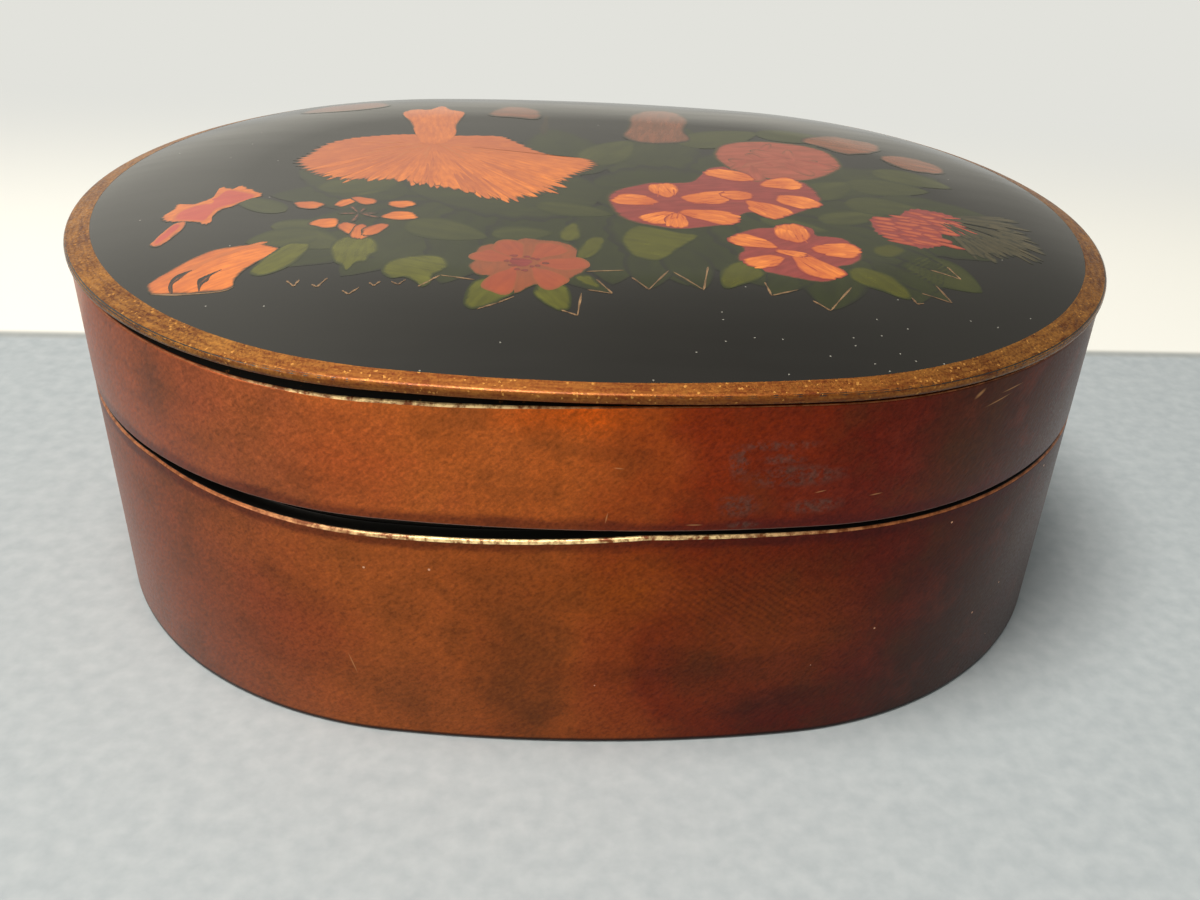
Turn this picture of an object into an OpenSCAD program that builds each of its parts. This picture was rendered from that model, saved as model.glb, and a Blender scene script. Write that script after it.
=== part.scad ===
// Oval lacquered wooden box with a lift-off lid.
// The walls are thin strips bent round one oval of four arcs. A liner inside the
// body stands up above the rim and holds the lid, which slips over it.
// X runs along the box, -Y is its front, and the origin is the middle of its base.

/* [Overall outline] */
// Length of the box over its walls
box_length = 160; // [150:1:240]
// Width of the box over its walls
box_width = 120; // [90:1:140]
// Radius of the round ends, as a share of half the width
end_round_share = 0.975; // [0.85:0.005:0.98]

/* [Box body] */
// Height of the body wall, from the table to its rim
body_height = 37; // [25:0.5:60]
// Thickness of the body wall's bent strip
wall_thickness = 3; // [2:0.1:5]
// Thickness of the base board, which is glued inside the wall
base_thickness = 4; // [2.5:0.1:8]

/* [Low place in the rim] */
// How deep the rim dips at the front, where the lid stands open
rim_dip = 1.6; // [0.2:0.1:3]
// How far the dip reaches to each side of its lowest point
rim_dip_reach = 36; // [25:1:80]
// Place of the lowest point along the box
rim_dip_place = -30; // [-40:1:40]

/* [Inner liner] */
// Thickness of the bent strip that lines the body
liner_thickness = 1.6; // [1.2:0.1:3]
// How far the liner stands up above the rim, inside the lid
liner_upstand = 6; // [3:0.5:12]

/* [Lid] */
// Height of the lid's wall
lid_wall_height = 19.2; // [14:0.2:40]
// Gap between the closed lid and the rim
lid_gap = 0.7; // [0.4:0.1:1.5]
// Clearance between the liner and the inside of the lid's wall
lid_clearance = 0.35; // [0.25:0.05:0.6]
// Thickness of the lid board at its edge
lid_edge_thickness = 1.3; // [1.2:0.1:4]
// Radius that the lid board's edge is rounded by, above and below
lid_edge_radius = 0.5; // [0.3:0.05:0.55]
// How far the lid board stands out past the wall
lid_overhang = 0.4; // [0.1:0.1:2]
// Rise of the crown from the board's edge to its flat middle
crown_rise = 4.6; // [2:0.1:7]
// Radius of the curve that the crown rises by
crown_radius = 80; // [60:1:160]

/* [Smoothness of the lid board] */
// Flats round each end of the board
end_flats = 36; // [12:1:48]
// Flats along each side of the board
side_flats = 8; // [4:1:12]
// Steps in each rounding of the board's edge
edge_steps = 3; // [2:1:4]
// Steps in the curve of the crown
crown_steps = 8; // [4:1:12]

/* [Hidden] */
$fn = 128;
// Overrun of the cuts that go right through
overrun = 1;

half_length = box_length / 2;
half_width = box_width / 2;
end_radius = half_width * end_round_share;
end_centre = half_length - end_radius;
// The radius of the long sides that makes them run into the ends without a corner
side_radius = (half_length ^ 2 - 2 * half_length * end_radius + half_width ^ 2)
    / (2 * (half_width - end_radius));
side_centre = side_radius - half_width;
// The direction in which both arcs' centres see the point where they meet
meet_angle = atan2(side_centre, end_centre);

liner_top = body_height + liner_upstand;
liner_inset = wall_thickness + liner_thickness;
lid_wall_thickness = wall_thickness - lid_clearance;
lid_bottom = body_height + lid_gap;
lid_seat = lid_bottom + lid_wall_height;
crown_top = lid_seat + lid_edge_thickness + crown_rise;
// The dip in the rim is the print of one large ball
dip_ball_radius = (rim_dip_reach ^ 2 + rim_dip ^ 2) / (2 * rim_dip);

// The crown's curve ends in the flat middle, this far in from the wall's outline
crown_margin = sqrt(2 * crown_radius * crown_rise - crown_rise ^ 2) - lid_overhang;
crown_centre_height = crown_top - crown_radius;
// The upper rounding of the edge touches the crown's curve from inside
edge_centre_inset = lid_edge_radius - lid_overhang;
touch_angle = asin((crown_margin - edge_centre_inset) / (crown_radius - lid_edge_radius));
edge_centre_height = crown_centre_height
    + (crown_radius - lid_edge_radius) * cos(touch_angle);

copper_lacquer = "#9a5426";
black_lacquer = "#1d1b19";
brown_lacquer = "#3a2415";

// One point of an arc round a centre
function arc_point(centre, radius, angle) =
    centre + radius * [cos(angle), sin(angle)];

// The points of the oval that lies the given inset inside the outline
function oval_points(inset) = [
    for (half = [1, -1]) each [
        for (i = [0 : end_flats - 1])
            half * arc_point([end_centre, 0], end_radius - inset,
                meet_angle * (2 * i / end_flats - 1)),
        for (i = [0 : side_flats - 1])
            half * arc_point([0, -side_centre], side_radius - inset,
                meet_angle + (180 - 2 * meet_angle) * i / side_flats)
    ]
];

// The lid board's edge and crown, as pairs of inset and height from below upwards
function board_section() = [
    for (i = [0 : edge_steps])
        let (p = arc_point([edge_centre_inset, lid_seat + lid_edge_radius],
            lid_edge_radius, -90 - 90 * i / edge_steps))
        p,
    for (i = [0 : edge_steps - 1])
        let (p = arc_point([edge_centre_inset, edge_centre_height],
            lid_edge_radius, 180 - (90 - touch_angle) * i / edge_steps))
        p,
    for (i = [0 : crown_steps])
        let (p = arc_point([crown_margin, crown_centre_height],
            crown_radius, 90 + touch_angle * (1 - i / crown_steps)))
        p
];

// A flat oval board between two heights, with its edge at the given inset
module oval_board(inset, low, high) {
    thickness = high - low;
    side_r = side_radius - inset;
    meet_x = end_centre + (end_radius - inset) * cos(meet_angle);
    translate([0, 0, low]) {
        for (end = [-1, 1])
            translate([end * end_centre, 0, 0])
                cylinder(h = thickness, r = end_radius - inset);
        intersection() {
            translate([0, side_centre, 0])
                cylinder(h = thickness, r = side_r);
            translate([0, -side_centre, 0])
                cylinder(h = thickness, r = side_r);
            translate([-meet_x, -half_width, 0])
                cube([2 * meet_x, box_width, thickness]);
        }
    }
}

// A strip bent round the oval, from an outer to an inner inset
module bent_strip(outer, inner, low, high) {
    difference() {
        oval_board(outer, low, high);
        oval_board(inner, low - overrun, high + overrun);
    }
}

// A solid whose section is carried round the oval
module lofted_board(section) {
    count = 2 * (end_flats + side_flats);
    last = len(section) - 1;
    points = [for (s = section) for (p = oval_points(s.x)) [p.x, p.y, s.y]];
    walls = [
        for (level = [0 : last - 1], i = [0 : count - 1])
            let (low = level * count, high = low + count, next = (i + 1) % count)
            each [
                [low + i, high + i, high + next],
                [low + i, high + next, low + next]
            ]
    ];
    bottom = [for (i = [0 : count - 1]) i];
    top = [for (i = [count - 1 : -1 : 0]) last * count + i];
    polyhedron(points = points, faces = concat([bottom, top], walls));
}

module base_board() {
    color(brown_lacquer)
        oval_board(wall_thickness, 0, base_thickness);
}

module body_wall() {
    color(copper_lacquer)
        difference() {
            bent_strip(0, wall_thickness, 0, body_height);
            translate([rim_dip_place, -half_width, body_height - rim_dip + dip_ball_radius])
                sphere(r = dip_ball_radius);
        }
}

module inner_liner() {
    color(black_lacquer)
        bent_strip(wall_thickness, liner_inset, base_thickness, liner_top);
}

module lid_wall() {
    color(copper_lacquer)
        bent_strip(0, lid_wall_thickness, lid_bottom, lid_seat);
}

module lid_board() {
    color(black_lacquer)
        lofted_board(board_section());
}

base_board();
body_wall();
inner_liner();
lid_wall();
lid_board();
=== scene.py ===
import math
import random
from collections import namedtuple

import bpy
from mathutils import Matrix, Vector


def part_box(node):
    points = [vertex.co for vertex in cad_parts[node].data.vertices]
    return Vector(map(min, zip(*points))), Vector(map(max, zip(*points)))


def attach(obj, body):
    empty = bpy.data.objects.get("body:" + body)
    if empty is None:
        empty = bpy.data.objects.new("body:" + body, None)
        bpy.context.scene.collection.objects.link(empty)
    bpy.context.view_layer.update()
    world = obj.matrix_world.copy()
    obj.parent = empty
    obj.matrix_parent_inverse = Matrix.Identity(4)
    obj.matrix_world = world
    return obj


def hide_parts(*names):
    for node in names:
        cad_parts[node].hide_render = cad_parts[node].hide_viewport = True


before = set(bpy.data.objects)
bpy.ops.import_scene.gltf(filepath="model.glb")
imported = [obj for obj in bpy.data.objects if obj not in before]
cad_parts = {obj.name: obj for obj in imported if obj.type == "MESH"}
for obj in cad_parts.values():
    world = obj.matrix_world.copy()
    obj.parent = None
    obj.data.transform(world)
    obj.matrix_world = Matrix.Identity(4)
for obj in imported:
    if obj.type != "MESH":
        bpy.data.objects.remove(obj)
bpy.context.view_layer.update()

bl_info = {
    "name": "Oval lacquered box",
    "version": (1, 0, 0),
    "blender": (4, 5, 0),
    "location": "3D View > Sidebar > Lacquered box",
    "description": "Dresses an oval box in leaf, lacquer and painted flowers",
    "category": "Object",
}

MM = 0.001

# What the frame says of the five wooden pieces
BASE_LOW, BASE_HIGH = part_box("base_board")
BODY_LOW, BODY_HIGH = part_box("body_wall")
LINER_LOW, LINER_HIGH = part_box("inner_liner")
LID_LOW, LID_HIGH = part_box("lid_wall")
BOARD_LOW, BOARD_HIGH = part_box("lid_board")

# The plan: one oval of four arcs, whose ends are nearly half circles
HALF_LENGTH = BODY_HIGH.x
HALF_WIDTH = BODY_HIGH.y
END_ROUND_SHARE = 0.975
END_RADIUS = HALF_WIDTH * END_ROUND_SHARE
END_CENTRE = HALF_LENGTH - END_RADIUS
SIDE_RADIUS = (HALF_LENGTH ** 2 - 2 * HALF_LENGTH * END_RADIUS + HALF_WIDTH ** 2) / (
    2 * (HALF_WIDTH - END_RADIUS)
)
SIDE_CENTRE = SIDE_RADIUS - HALF_WIDTH
MEET_ANGLE = math.atan2(SIDE_CENTRE, END_CENTRE)
SIDE_HALF_ANGLE = math.pi / 2 - MEET_ANGLE
SIDE_HALF_RUN = SIDE_RADIUS * SIDE_HALF_ANGLE
END_RUN = END_RADIUS * 2 * MEET_ANGLE
HALF_RUN = 2 * SIDE_HALF_RUN + END_RUN

# The arcs from the middle of the back by way of the +X end: centre, angle, steps
END_STEPS = 96
SIDE_STEPS = 20
ARCS = [
    ((0, -SIDE_CENTRE, 0), SIDE_HALF_ANGLE, SIDE_STEPS // 2),
    ((END_CENTRE, 0, 0), 2 * MEET_ANGLE, END_STEPS),
    ((0, SIDE_CENTRE, 0), 2 * SIDE_HALF_ANGLE, SIDE_STEPS),
    ((-END_CENTRE, 0, 0), 2 * MEET_ANGLE, END_STEPS),
    ((0, -SIDE_CENTRE, 0), SIDE_HALF_ANGLE, SIDE_STEPS // 2),
]

WALL_THICKNESS = HALF_LENGTH - LINER_HIGH.x
OVERHANG = BOARD_HIGH.x - HALF_LENGTH
SEAT = BOARD_LOW.z
CROWN_TOP = BOARD_HIGH.z
MERGE_DISTANCE = 0.0005 * MM
SMOOTH_ANGLE = math.radians(40)


def linear(code):
    """The linear colour of an sRGB hex value."""
    shares = [int(code[i:i + 2], 16) / 255 for i in (1, 3, 5)]
    return tuple(s / 12.92 if s <= 0.04045 else ((s + 0.055) / 1.055) ** 2.4 for s in shares)


def length(name, description, default, low, high):
    """A length that a user may change, in metres."""
    return bpy.props.FloatProperty(
        name=name, description=description, default=default * MM,
        min=low * MM, max=high * MM, precision=5, unit="LENGTH",
    )


def colour(name, description, code):
    """A colour that a user may change."""
    return bpy.props.FloatVectorProperty(
        name=name, description=description, default=(*linear(code), 1),
        min=0, max=1, size=4, subtype="COLOR",
    )


class BoxSizes(bpy.types.PropertyGroup):
    """Sizes of the box that the frame doesn't give by itself."""

    arris_radius: length("Arris radius", "Rounding of the bent strips' arrises", 0.5, 0.1, 0.8)
    liner_thickness: length("Liner thickness", "Thickness of the inner strip", 1.6, 1, 3)
    lid_wall_thickness: length("Lid wall thickness", "Thickness of the lid's strip", 2.65, 2, 5)
    edge_thickness: length("Edge thickness", "Thickness of the lid board at its edge", 1.3, 1, 4)
    edge_radius: length("Edge radius", "Rounding of the lid board's edge", 0.5, 0.3, 0.55)
    crown_radius: length("Crown radius", "Radius of the curve that the crown rises by", 80, 60, 160)
    band_width: length("Band width", "Width of the gold band on top at the ends", 3.6, 1, 6)
    band_front: length("Band front", "Width of the gold band on top at the front", 1.8, 1, 6)
    dip_depth: length("Dip depth", "How deep the body's rim dips at the front", 1.6, 0, 3)
    dip_reach: length("Dip reach", "How far the dip reaches to each side", 36, 25, 80)
    dip_place: length("Dip place", "Place of the dip along the box", -30, -40, 40)
    paint_thickness: length("Paint thickness", "Thickness of one coat of paint", 0.014, 0.01, 0.1)


class BoxColours(bpy.types.PropertyGroup):
    """Colours of the leaf, the lacquer and the paints."""

    copper: colour("Copper leaf", "Leaf under thin lacquer", "#be5e20")
    # The amber and the darker tone past it also serve as painted shade towards the +X end
    amber: colour("Amber lacquer", "Leaf under thick lacquer", "#6c1a04")
    gold: colour("Bronze gold", "Bronze powder of the edge band", "#a9722f")
    # The worn leaf's pale gold is also a painted highlight along the arrises
    bare_gold_highlight: colour("Worn leaf", "Bare leaf where the lacquer has worn off", "#ffdfa0")
    black: colour("Black lacquer", "Ground of the lid and the inside", "#1b1a18")
    orange: colour("Orange", "Orange of the petals", "#b05e30")
    coral: colour("Coral", "Coral red of the lobed flower", "#964428")
    crimson: colour("Crimson", "Dark red of the round flowers", "#80302c")
    leaf_green: colour("Leaf green", "Olive green of the leaves", "#424208")
    shade_green: colour("Shade green", "Dark olive laid under the bouquet", "#282d12")
    outline: colour("Outline", "Dull gold pink of the leaf outlines", "#8c6c4c")


def sizes():
    return bpy.context.scene.lacquer_sizes


def colours():
    return bpy.context.scene.lacquer_colours


# Geometry of the oval and the crown


def inset_of(x, y):
    """How far a point of the plan lies inside the walls' outline."""
    along, across = abs(x), abs(y)
    if math.atan2(across, along - END_CENTRE) <= MEET_ANGLE:
        return END_RADIUS - math.hypot(along - END_CENTRE, across)
    return SIDE_RADIUS - math.hypot(along, across + SIDE_CENTRE)


def run_of(x, y):
    """Distance along the outline from the middle of the front, always positive."""
    along = abs(x)
    if math.atan2(abs(y), along - END_CENTRE) <= MEET_ANGLE:
        angle = math.atan2(y, along - END_CENTRE) + MEET_ANGLE
        return SIDE_HALF_RUN + angle * END_RADIUS
    if y < 0:
        return math.atan2(along, SIDE_CENTRE - y) * SIDE_RADIUS
    return HALF_RUN - math.atan2(along, SIDE_CENTRE + y) * SIDE_RADIUS


def oval_at(run, inset=0.0):
    """The point of the oval at that distance from the middle of the front, +X first."""
    side = 1 if run >= 0 else -1
    run = min(abs(run), HALF_RUN)
    if run < SIDE_HALF_RUN:
        angle = run / SIDE_RADIUS
        radius = SIDE_RADIUS - inset
        x, y = radius * math.sin(angle), SIDE_CENTRE - radius * math.cos(angle)
    elif run < SIDE_HALF_RUN + END_RUN:
        angle = (run - SIDE_HALF_RUN) / END_RADIUS - MEET_ANGLE
        radius = END_RADIUS - inset
        x, y = END_CENTRE + radius * math.cos(angle), radius * math.sin(angle)
    else:
        angle = (HALF_RUN - run) / SIDE_RADIUS
        radius = SIDE_RADIUS - inset
        x, y = radius * math.sin(angle), radius * math.cos(angle) - SIDE_CENTRE
    return side * x, y


def crown_margin():
    """How far in from the walls' outline the crown's curve ends in the flat middle."""
    rise = CROWN_TOP - SEAT - sizes().edge_thickness
    return math.sqrt(2 * sizes().crown_radius * rise - rise ** 2) - OVERHANG


def crown_height(x, y):
    """Height of the lid board's top at a point of the plan."""
    short = crown_margin() - inset_of(x, y)
    if short <= 0:
        return CROWN_TOP
    radius = sizes().crown_radius
    return CROWN_TOP - radius + math.sqrt(radius ** 2 - short ** 2)


def dip_at(x, y):
    """How far the body's rim is worn down at a point of the plan."""
    s = sizes()
    ball = (s.dip_reach ** 2 + s.dip_depth ** 2) / (2 * s.dip_depth)
    away = math.hypot(x - s.dip_place, y + HALF_WIDTH)
    if away >= s.dip_reach:
        return 0.0
    return s.dip_depth - ball + math.sqrt(ball ** 2 - away ** 2)


def wobble(seed, waves):
    """A smooth random function along the oval that closes on itself, from -1 to 1."""
    draw = random.Random(seed)
    period = 2 * HALF_RUN
    terms = [(n, draw.uniform(0, 2 * math.pi), draw.uniform(0.4, 1)) for n in waves]
    total = sum(size for _, _, size in terms)
    return lambda run: sum(
        size * math.sin(2 * math.pi * n * run / period + phase) for n, phase, size in terms
    ) / total


def bump_at(run, centre, reach):
    """A smooth hill of height 1 round a place on the oval."""
    share = abs(run - centre) / reach
    return 0.0 if share >= 1 else (1 - share ** 2) ** 2


# Modelling helpers


def deselect():
    if bpy.context.object and bpy.context.object.mode != "OBJECT":
        bpy.ops.object.mode_set(mode="OBJECT")
    bpy.ops.object.select_all(action="DESELECT")


def pick(piece):
    """Selects one piece alone and makes it the active one."""
    deselect()
    piece.select_set(True)
    bpy.context.view_layer.objects.active = piece


def enter_edit(piece):
    pick(piece)
    bpy.ops.object.mode_set(mode="EDIT")
    bpy.ops.mesh.select_all(action="SELECT")


def leave_edit():
    bpy.ops.object.mode_set(mode="OBJECT")


def apply_place(piece):
    pick(piece)
    bpy.ops.object.transform_apply(location=True, rotation=True, scale=True)


def apply_modifier(piece, kind, **settings):
    pick(piece)
    modifier = piece.modifiers.new(kind.title(), kind)
    for key, value in settings.items():
        setattr(modifier, key, value)
    bpy.ops.object.modifier_apply(modifier=modifier.name)


def close_up(piece):
    """Merges what meets and turns all faces outwards."""
    enter_edit(piece)
    bpy.ops.mesh.remove_doubles(threshold=MERGE_DISTANCE)
    bpy.ops.mesh.normals_make_consistent(inside=False)
    leave_edit()


def spin_round_oval():
    """Carries the selected section round the four arcs."""
    for centre, angle, steps in ARCS:
        bpy.ops.mesh.spin(steps=steps, angle=angle, center=centre, axis=(0, 0, 1))


def unroll(piece, lowered=lambda x, y: 0.0):
    """Gives a piece a UV map in metres: along the oval from the front, and upwards.

    lowered says how far its rim dips at a place, so that the map's lines dip with it.
    """
    mesh = piece.data
    layer = mesh.uv_layers.active or mesh.uv_layers.new(name="along_wall")
    layer.name = "along_wall"
    for face in mesh.polygons:
        side = 1 if face.center.x >= 0 else -1
        for loop in face.loop_indices:
            co = mesh.vertices[mesh.loops[loop].vertex_index].co
            level = co.z + lowered(co.x, co.y) * co.z / BODY_HIGH.z
            layer.data[loop].uv = (side * run_of(co.x, co.y), level)


def dress(piece, name, body, materials, stands_for=()):
    """Names a finished piece, gives it its finish and hangs it on its body."""
    piece.name = name
    piece.data.name = name
    piece.data.materials.clear()
    for material in materials:
        piece.data.materials.append(material)
    pick(piece)
    bpy.ops.object.shade_smooth_by_angle(angle=SMOOTH_ANGLE)
    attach(piece, body)
    if stands_for:
        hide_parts(*stands_for)


def bent_strip(outer, thickness, low, high, arris):
    """A strip bent round the oval, with its four arrises rounded."""
    deselect()
    bpy.ops.mesh.primitive_plane_add(
        size=1,
        location=(0, HALF_WIDTH - outer - thickness / 2, (low + high) / 2),
        rotation=(math.pi / 2, 0, math.pi / 2),
    )
    strip = bpy.context.object
    strip.scale = (thickness, high - low, 1)
    apply_place(strip)
    enter_edit(strip)
    bpy.ops.mesh.bevel(offset=arris, segments=4, profile=0.5, affect="VERTICES")
    bpy.ops.mesh.select_all(action="SELECT")
    bpy.ops.mesh.delete(type="ONLY_FACE")
    bpy.ops.mesh.select_all(action="SELECT")
    spin_round_oval()
    leave_edit()
    close_up(strip)
    return strip


def start_point(inset, height):
    """One loose point behind the box, from which a board's section is drawn."""
    deselect()
    bpy.ops.mesh.primitive_plane_add(size=MM, location=(0, HALF_WIDTH - inset, height))
    board = bpy.context.object
    apply_place(board)
    enter_edit(board)
    bpy.ops.mesh.merge(type="CENTER")
    return board


def draw_on(inwards, upwards):
    """Draws a straight stretch of a section on from the selected point."""
    bpy.ops.mesh.extrude_region_move(
        TRANSFORM_OT_translate={"value": (0, -inwards, upwards)}
    )


def curve_on(inset, height, angle, steps):
    """Curves a section on upwards round a centre, given by its inset and height."""
    bpy.ops.mesh.spin(
        steps=steps, angle=angle, center=(0, HALF_WIDTH - inset, height), axis=(-1, 0, 0)
    )


def sweep_board(board):
    """Carries a board's drawn section round the oval and closes its two faces."""
    bpy.ops.mesh.select_all(action="SELECT")
    spin_round_oval()
    bpy.ops.mesh.select_all(action="SELECT")
    bpy.ops.mesh.remove_doubles(threshold=MERGE_DISTANCE)
    bpy.ops.mesh.select_all(action="DESELECT")
    bpy.ops.mesh.select_non_manifold()
    bpy.ops.mesh.fill_holes(sides=0)
    leave_edit()
    close_up(board)


def lay_sheet(columns, rows, place, long, wide, tone=0.5, grain=None, rim=0.0):
    """A grid whose points lie where place(u, v) says, with u from 0 to 1, v from -1 to 1.

    Its UV map is in metres of brush stroke: along and across the grid, or over the plan
    with strokes at the heading that grain gives. Its paint reads tone and rim, which
    says how near a point is to the edge; each is a number or a function of u and v.
    """
    bpy.ops.mesh.primitive_grid_add(x_subdivisions=columns, y_subdivisions=rows, size=2)
    sheet = bpy.context.object
    mesh = sheet.data
    spots = [((point.co.x + 1) / 2, point.co.y) for point in mesh.vertices]
    for point, (u, v) in zip(mesh.vertices, spots):
        point.co = place(u, v)
    strokes = mesh.uv_layers.active.uv
    if grain is None:
        for loop in strokes:
            loop.vector = (loop.vector.x * long, loop.vector.y * wide)
    else:
        along = Vector((math.cos(math.radians(grain)), math.sin(math.radians(grain)), 0))
        across = Vector((-along.y, along.x, 0))
        for loop, corner in zip(strokes, mesh.loops):
            co = mesh.vertices[corner.vertex_index].co
            loop.vector = (co.dot(along), co.dot(across))
    for name, value in (("tone", tone), ("rim", rim)):
        values = [value(u, v) if callable(value) else value for u, v in spots]
        mesh.attributes.new(name, "FLOAT", "POINT").data.foreach_set("value", values)
    return sheet


def join(sheets):
    """Joins sheets into the first of them."""
    deselect()
    for sheet in sheets:
        sheet.select_set(True)
    bpy.context.view_layer.objects.active = sheets[0]
    bpy.ops.object.join()
    return sheets[0]


def thicken(sheet, thickness):
    """Merges a sheet's own seams and gives it its thickness inwards."""
    enter_edit(sheet)
    bpy.ops.mesh.remove_doubles(threshold=MERGE_DISTANCE)
    bpy.ops.mesh.dissolve_degenerate(threshold=MERGE_DISTANCE)
    leave_edit()
    apply_modifier(sheet, "SOLIDIFY", thickness=thickness, offset=-1)


# Materials


def set_up(node, settings=(), links=()):
    """Gives a node its settings and links, each a pair of socket and value.

    A colour may be an sRGB hex value, and a linked node gives its first live output.
    """
    for key, value in dict(settings).items():
        if isinstance(value, str) and value.startswith("#"):
            value = (*linear(value), 1)
        if isinstance(key, int) or key in node.inputs:
            node.inputs[key].default_value = value
        else:
            setattr(node, key, value)
    for key, source in dict(links).items():
        if isinstance(source, bpy.types.Node):
            source = next(socket for socket in source.outputs if socket.enabled)
        node.id_data.links.new(source, node.inputs[key])
    return node


def add(tree, kind, settings=(), links=()):
    """Adds a node with its settings and links."""
    return set_up(tree.nodes.new(kind), settings, links)


def new_material(name):
    """An empty material and its node tree with one principled shader."""
    material = bpy.data.materials.new(name)
    material.use_nodes = True
    tree = material.node_tree
    tree.nodes.clear()
    shader = add(tree, "ShaderNodeBsdfPrincipled")
    add(tree, "ShaderNodeOutputMaterial", {}, {"Surface": shader})
    return material, tree, shader


def per_mm(period):
    """The scale of a noise whose features repeat about every so many millimetres."""
    return 1 / (period * MM)


# Stains on the wall, in millimetres: colour, strength, run, height, half sizes and tilt
STAINS = [
    ("#4a2c10", 0.38, -12, 17, 11, 28, 0), ("#2e200c", 0.4, -9, 5, 8, 4, 30),
    ("#a04c16", 0.6, 22, 20, 26, 18, 0), ("#4c1c0c", 0.5, 14, 14, 26, 5, 4),
    ("#3e1a0c", 0.5, 27, 7, 18, 4, 8), ("#b4540e", 0.8, 4, 28, 16, 7, 0),
    ("#b04420", 0.4, -33, 46, 12, 15, 0), ("#e0600a", 1.0, -3, 56.5, 15, 6, 0),
    ("#5e3a2c", 0.5, -63, 50, 4, 10, 0), ("#3a1c08", 0.38, 60, 14, 26, 28, 0),
    ("#4a2a0a", 0.5, 49, 46, 11, 14, 0), ("#a03818", 0.4, -42, 18, 16, 18, 0),
    ("#74401c", 0.4, -27, 10, 11, 9, 0), ("#4a2c10", 0.5, 128, 18, 12, 24, 0),
    ("#b0500e", 0.6, 160, 46, 18, 10, 0), ("#3e1a0c", 0.4, -150, 12, 26, 9, 5),
    ("#4a2c10", 0.4, -178, 46, 10, 18, 0), ("#8c3410", 0.4, -110, 30, 20, 16, 0),
    ("#b04420", 0.4, 205, 16, 18, 14, 0),
]

# Remains of a dull grey film on the lid's wall: run, height and half sizes
FILM = [(23, 52, 7, 1.2), (18, 49.4, 1.8, 3.4), (26, 47, 8.5, 2.1), (24, 49.6, 4, 1),
        (18.8, 42.8, 3.6, 2.1), (29, 42.3, 5, 1.6), (19.6, 39.6, 2.8, 1)]

# Scratches through the lacquer: run, height, half length, half width and tilt
SCRATCHES = [(-34.5, 13, 2.4, 0.13, -73), (50.5, 55, 1.3, 0.4, 35), (54.5, 53, 3, 0.14, 10),
             (57, 54.2, 2.6, 0.14, 5), (0.5, 40, 1.1, 0.12, 80), (12, 38.9, 1.4, 0.14, 0),
             (1.8, 47.6, 0.9, 0.13, -5), (28.5, 43.5, 1, 0.12, 12), (36.5, 42.3, 1.2, 0.12, 5),
             (-139, 24, 2.6, 0.13, -60), (166, 50, 2.2, 0.13, 20), (-92, 47, 1.8, 0.13, 50)]


def oval_mask(tree, spot, run, height, reach, rise, tilt=0, soft=0.7, strength=1.0):
    """Full in the middle of an oval on the wall, given in millimetres, and 0 outside."""
    centred = add(tree, "ShaderNodeMapping",
                  {"vector_type": "TEXTURE", "Location": (run * MM, height * MM, 0),
                   "Rotation": (0, 0, math.radians(tilt)),
                   "Scale": (reach * MM, rise * MM, 1)},
                  {"Vector": spot})
    away = add(tree, "ShaderNodeVectorMath", {"operation": "LENGTH"}, {0: centred})
    return add(tree, "ShaderNodeMapRange",
               {"From Min": 1.0, "From Max": 1 - soft, "To Max": strength,
                "interpolation_type": "SMOOTHSTEP"},
               {"Value": away})


def dust_specks(tree, place, cell, share, radius, settled=None, dimensions="3D"):
    """Small round specks, one at most in each cell of so many millimetres.

    Only the cells whose random number is over share hold one, and settled says where
    they lie closer together. The radius is a share of the cell.
    """
    cells = add(tree, "ShaderNodeTexVoronoi",
                {"voronoi_dimensions": dimensions, "Scale": per_mm(cell)}, {"Vector": place})
    chosen = add(tree, "ShaderNodeSeparateColor", {}, {"Color": cells.outputs["Color"]})
    if settled:
        chosen = add(tree, "ShaderNodeMath", {"operation": "ADD"}, {0: chosen, 1: settled})
    few = add(tree, "ShaderNodeMath", {"operation": "GREATER_THAN", 1: share}, {0: chosen})
    near = add(tree, "ShaderNodeMath", {"operation": "LESS_THAN", 1: radius}, {0: cells})
    return add(tree, "ShaderNodeMath", {"operation": "MULTIPLY"}, {0: few, 1: near})


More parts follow.
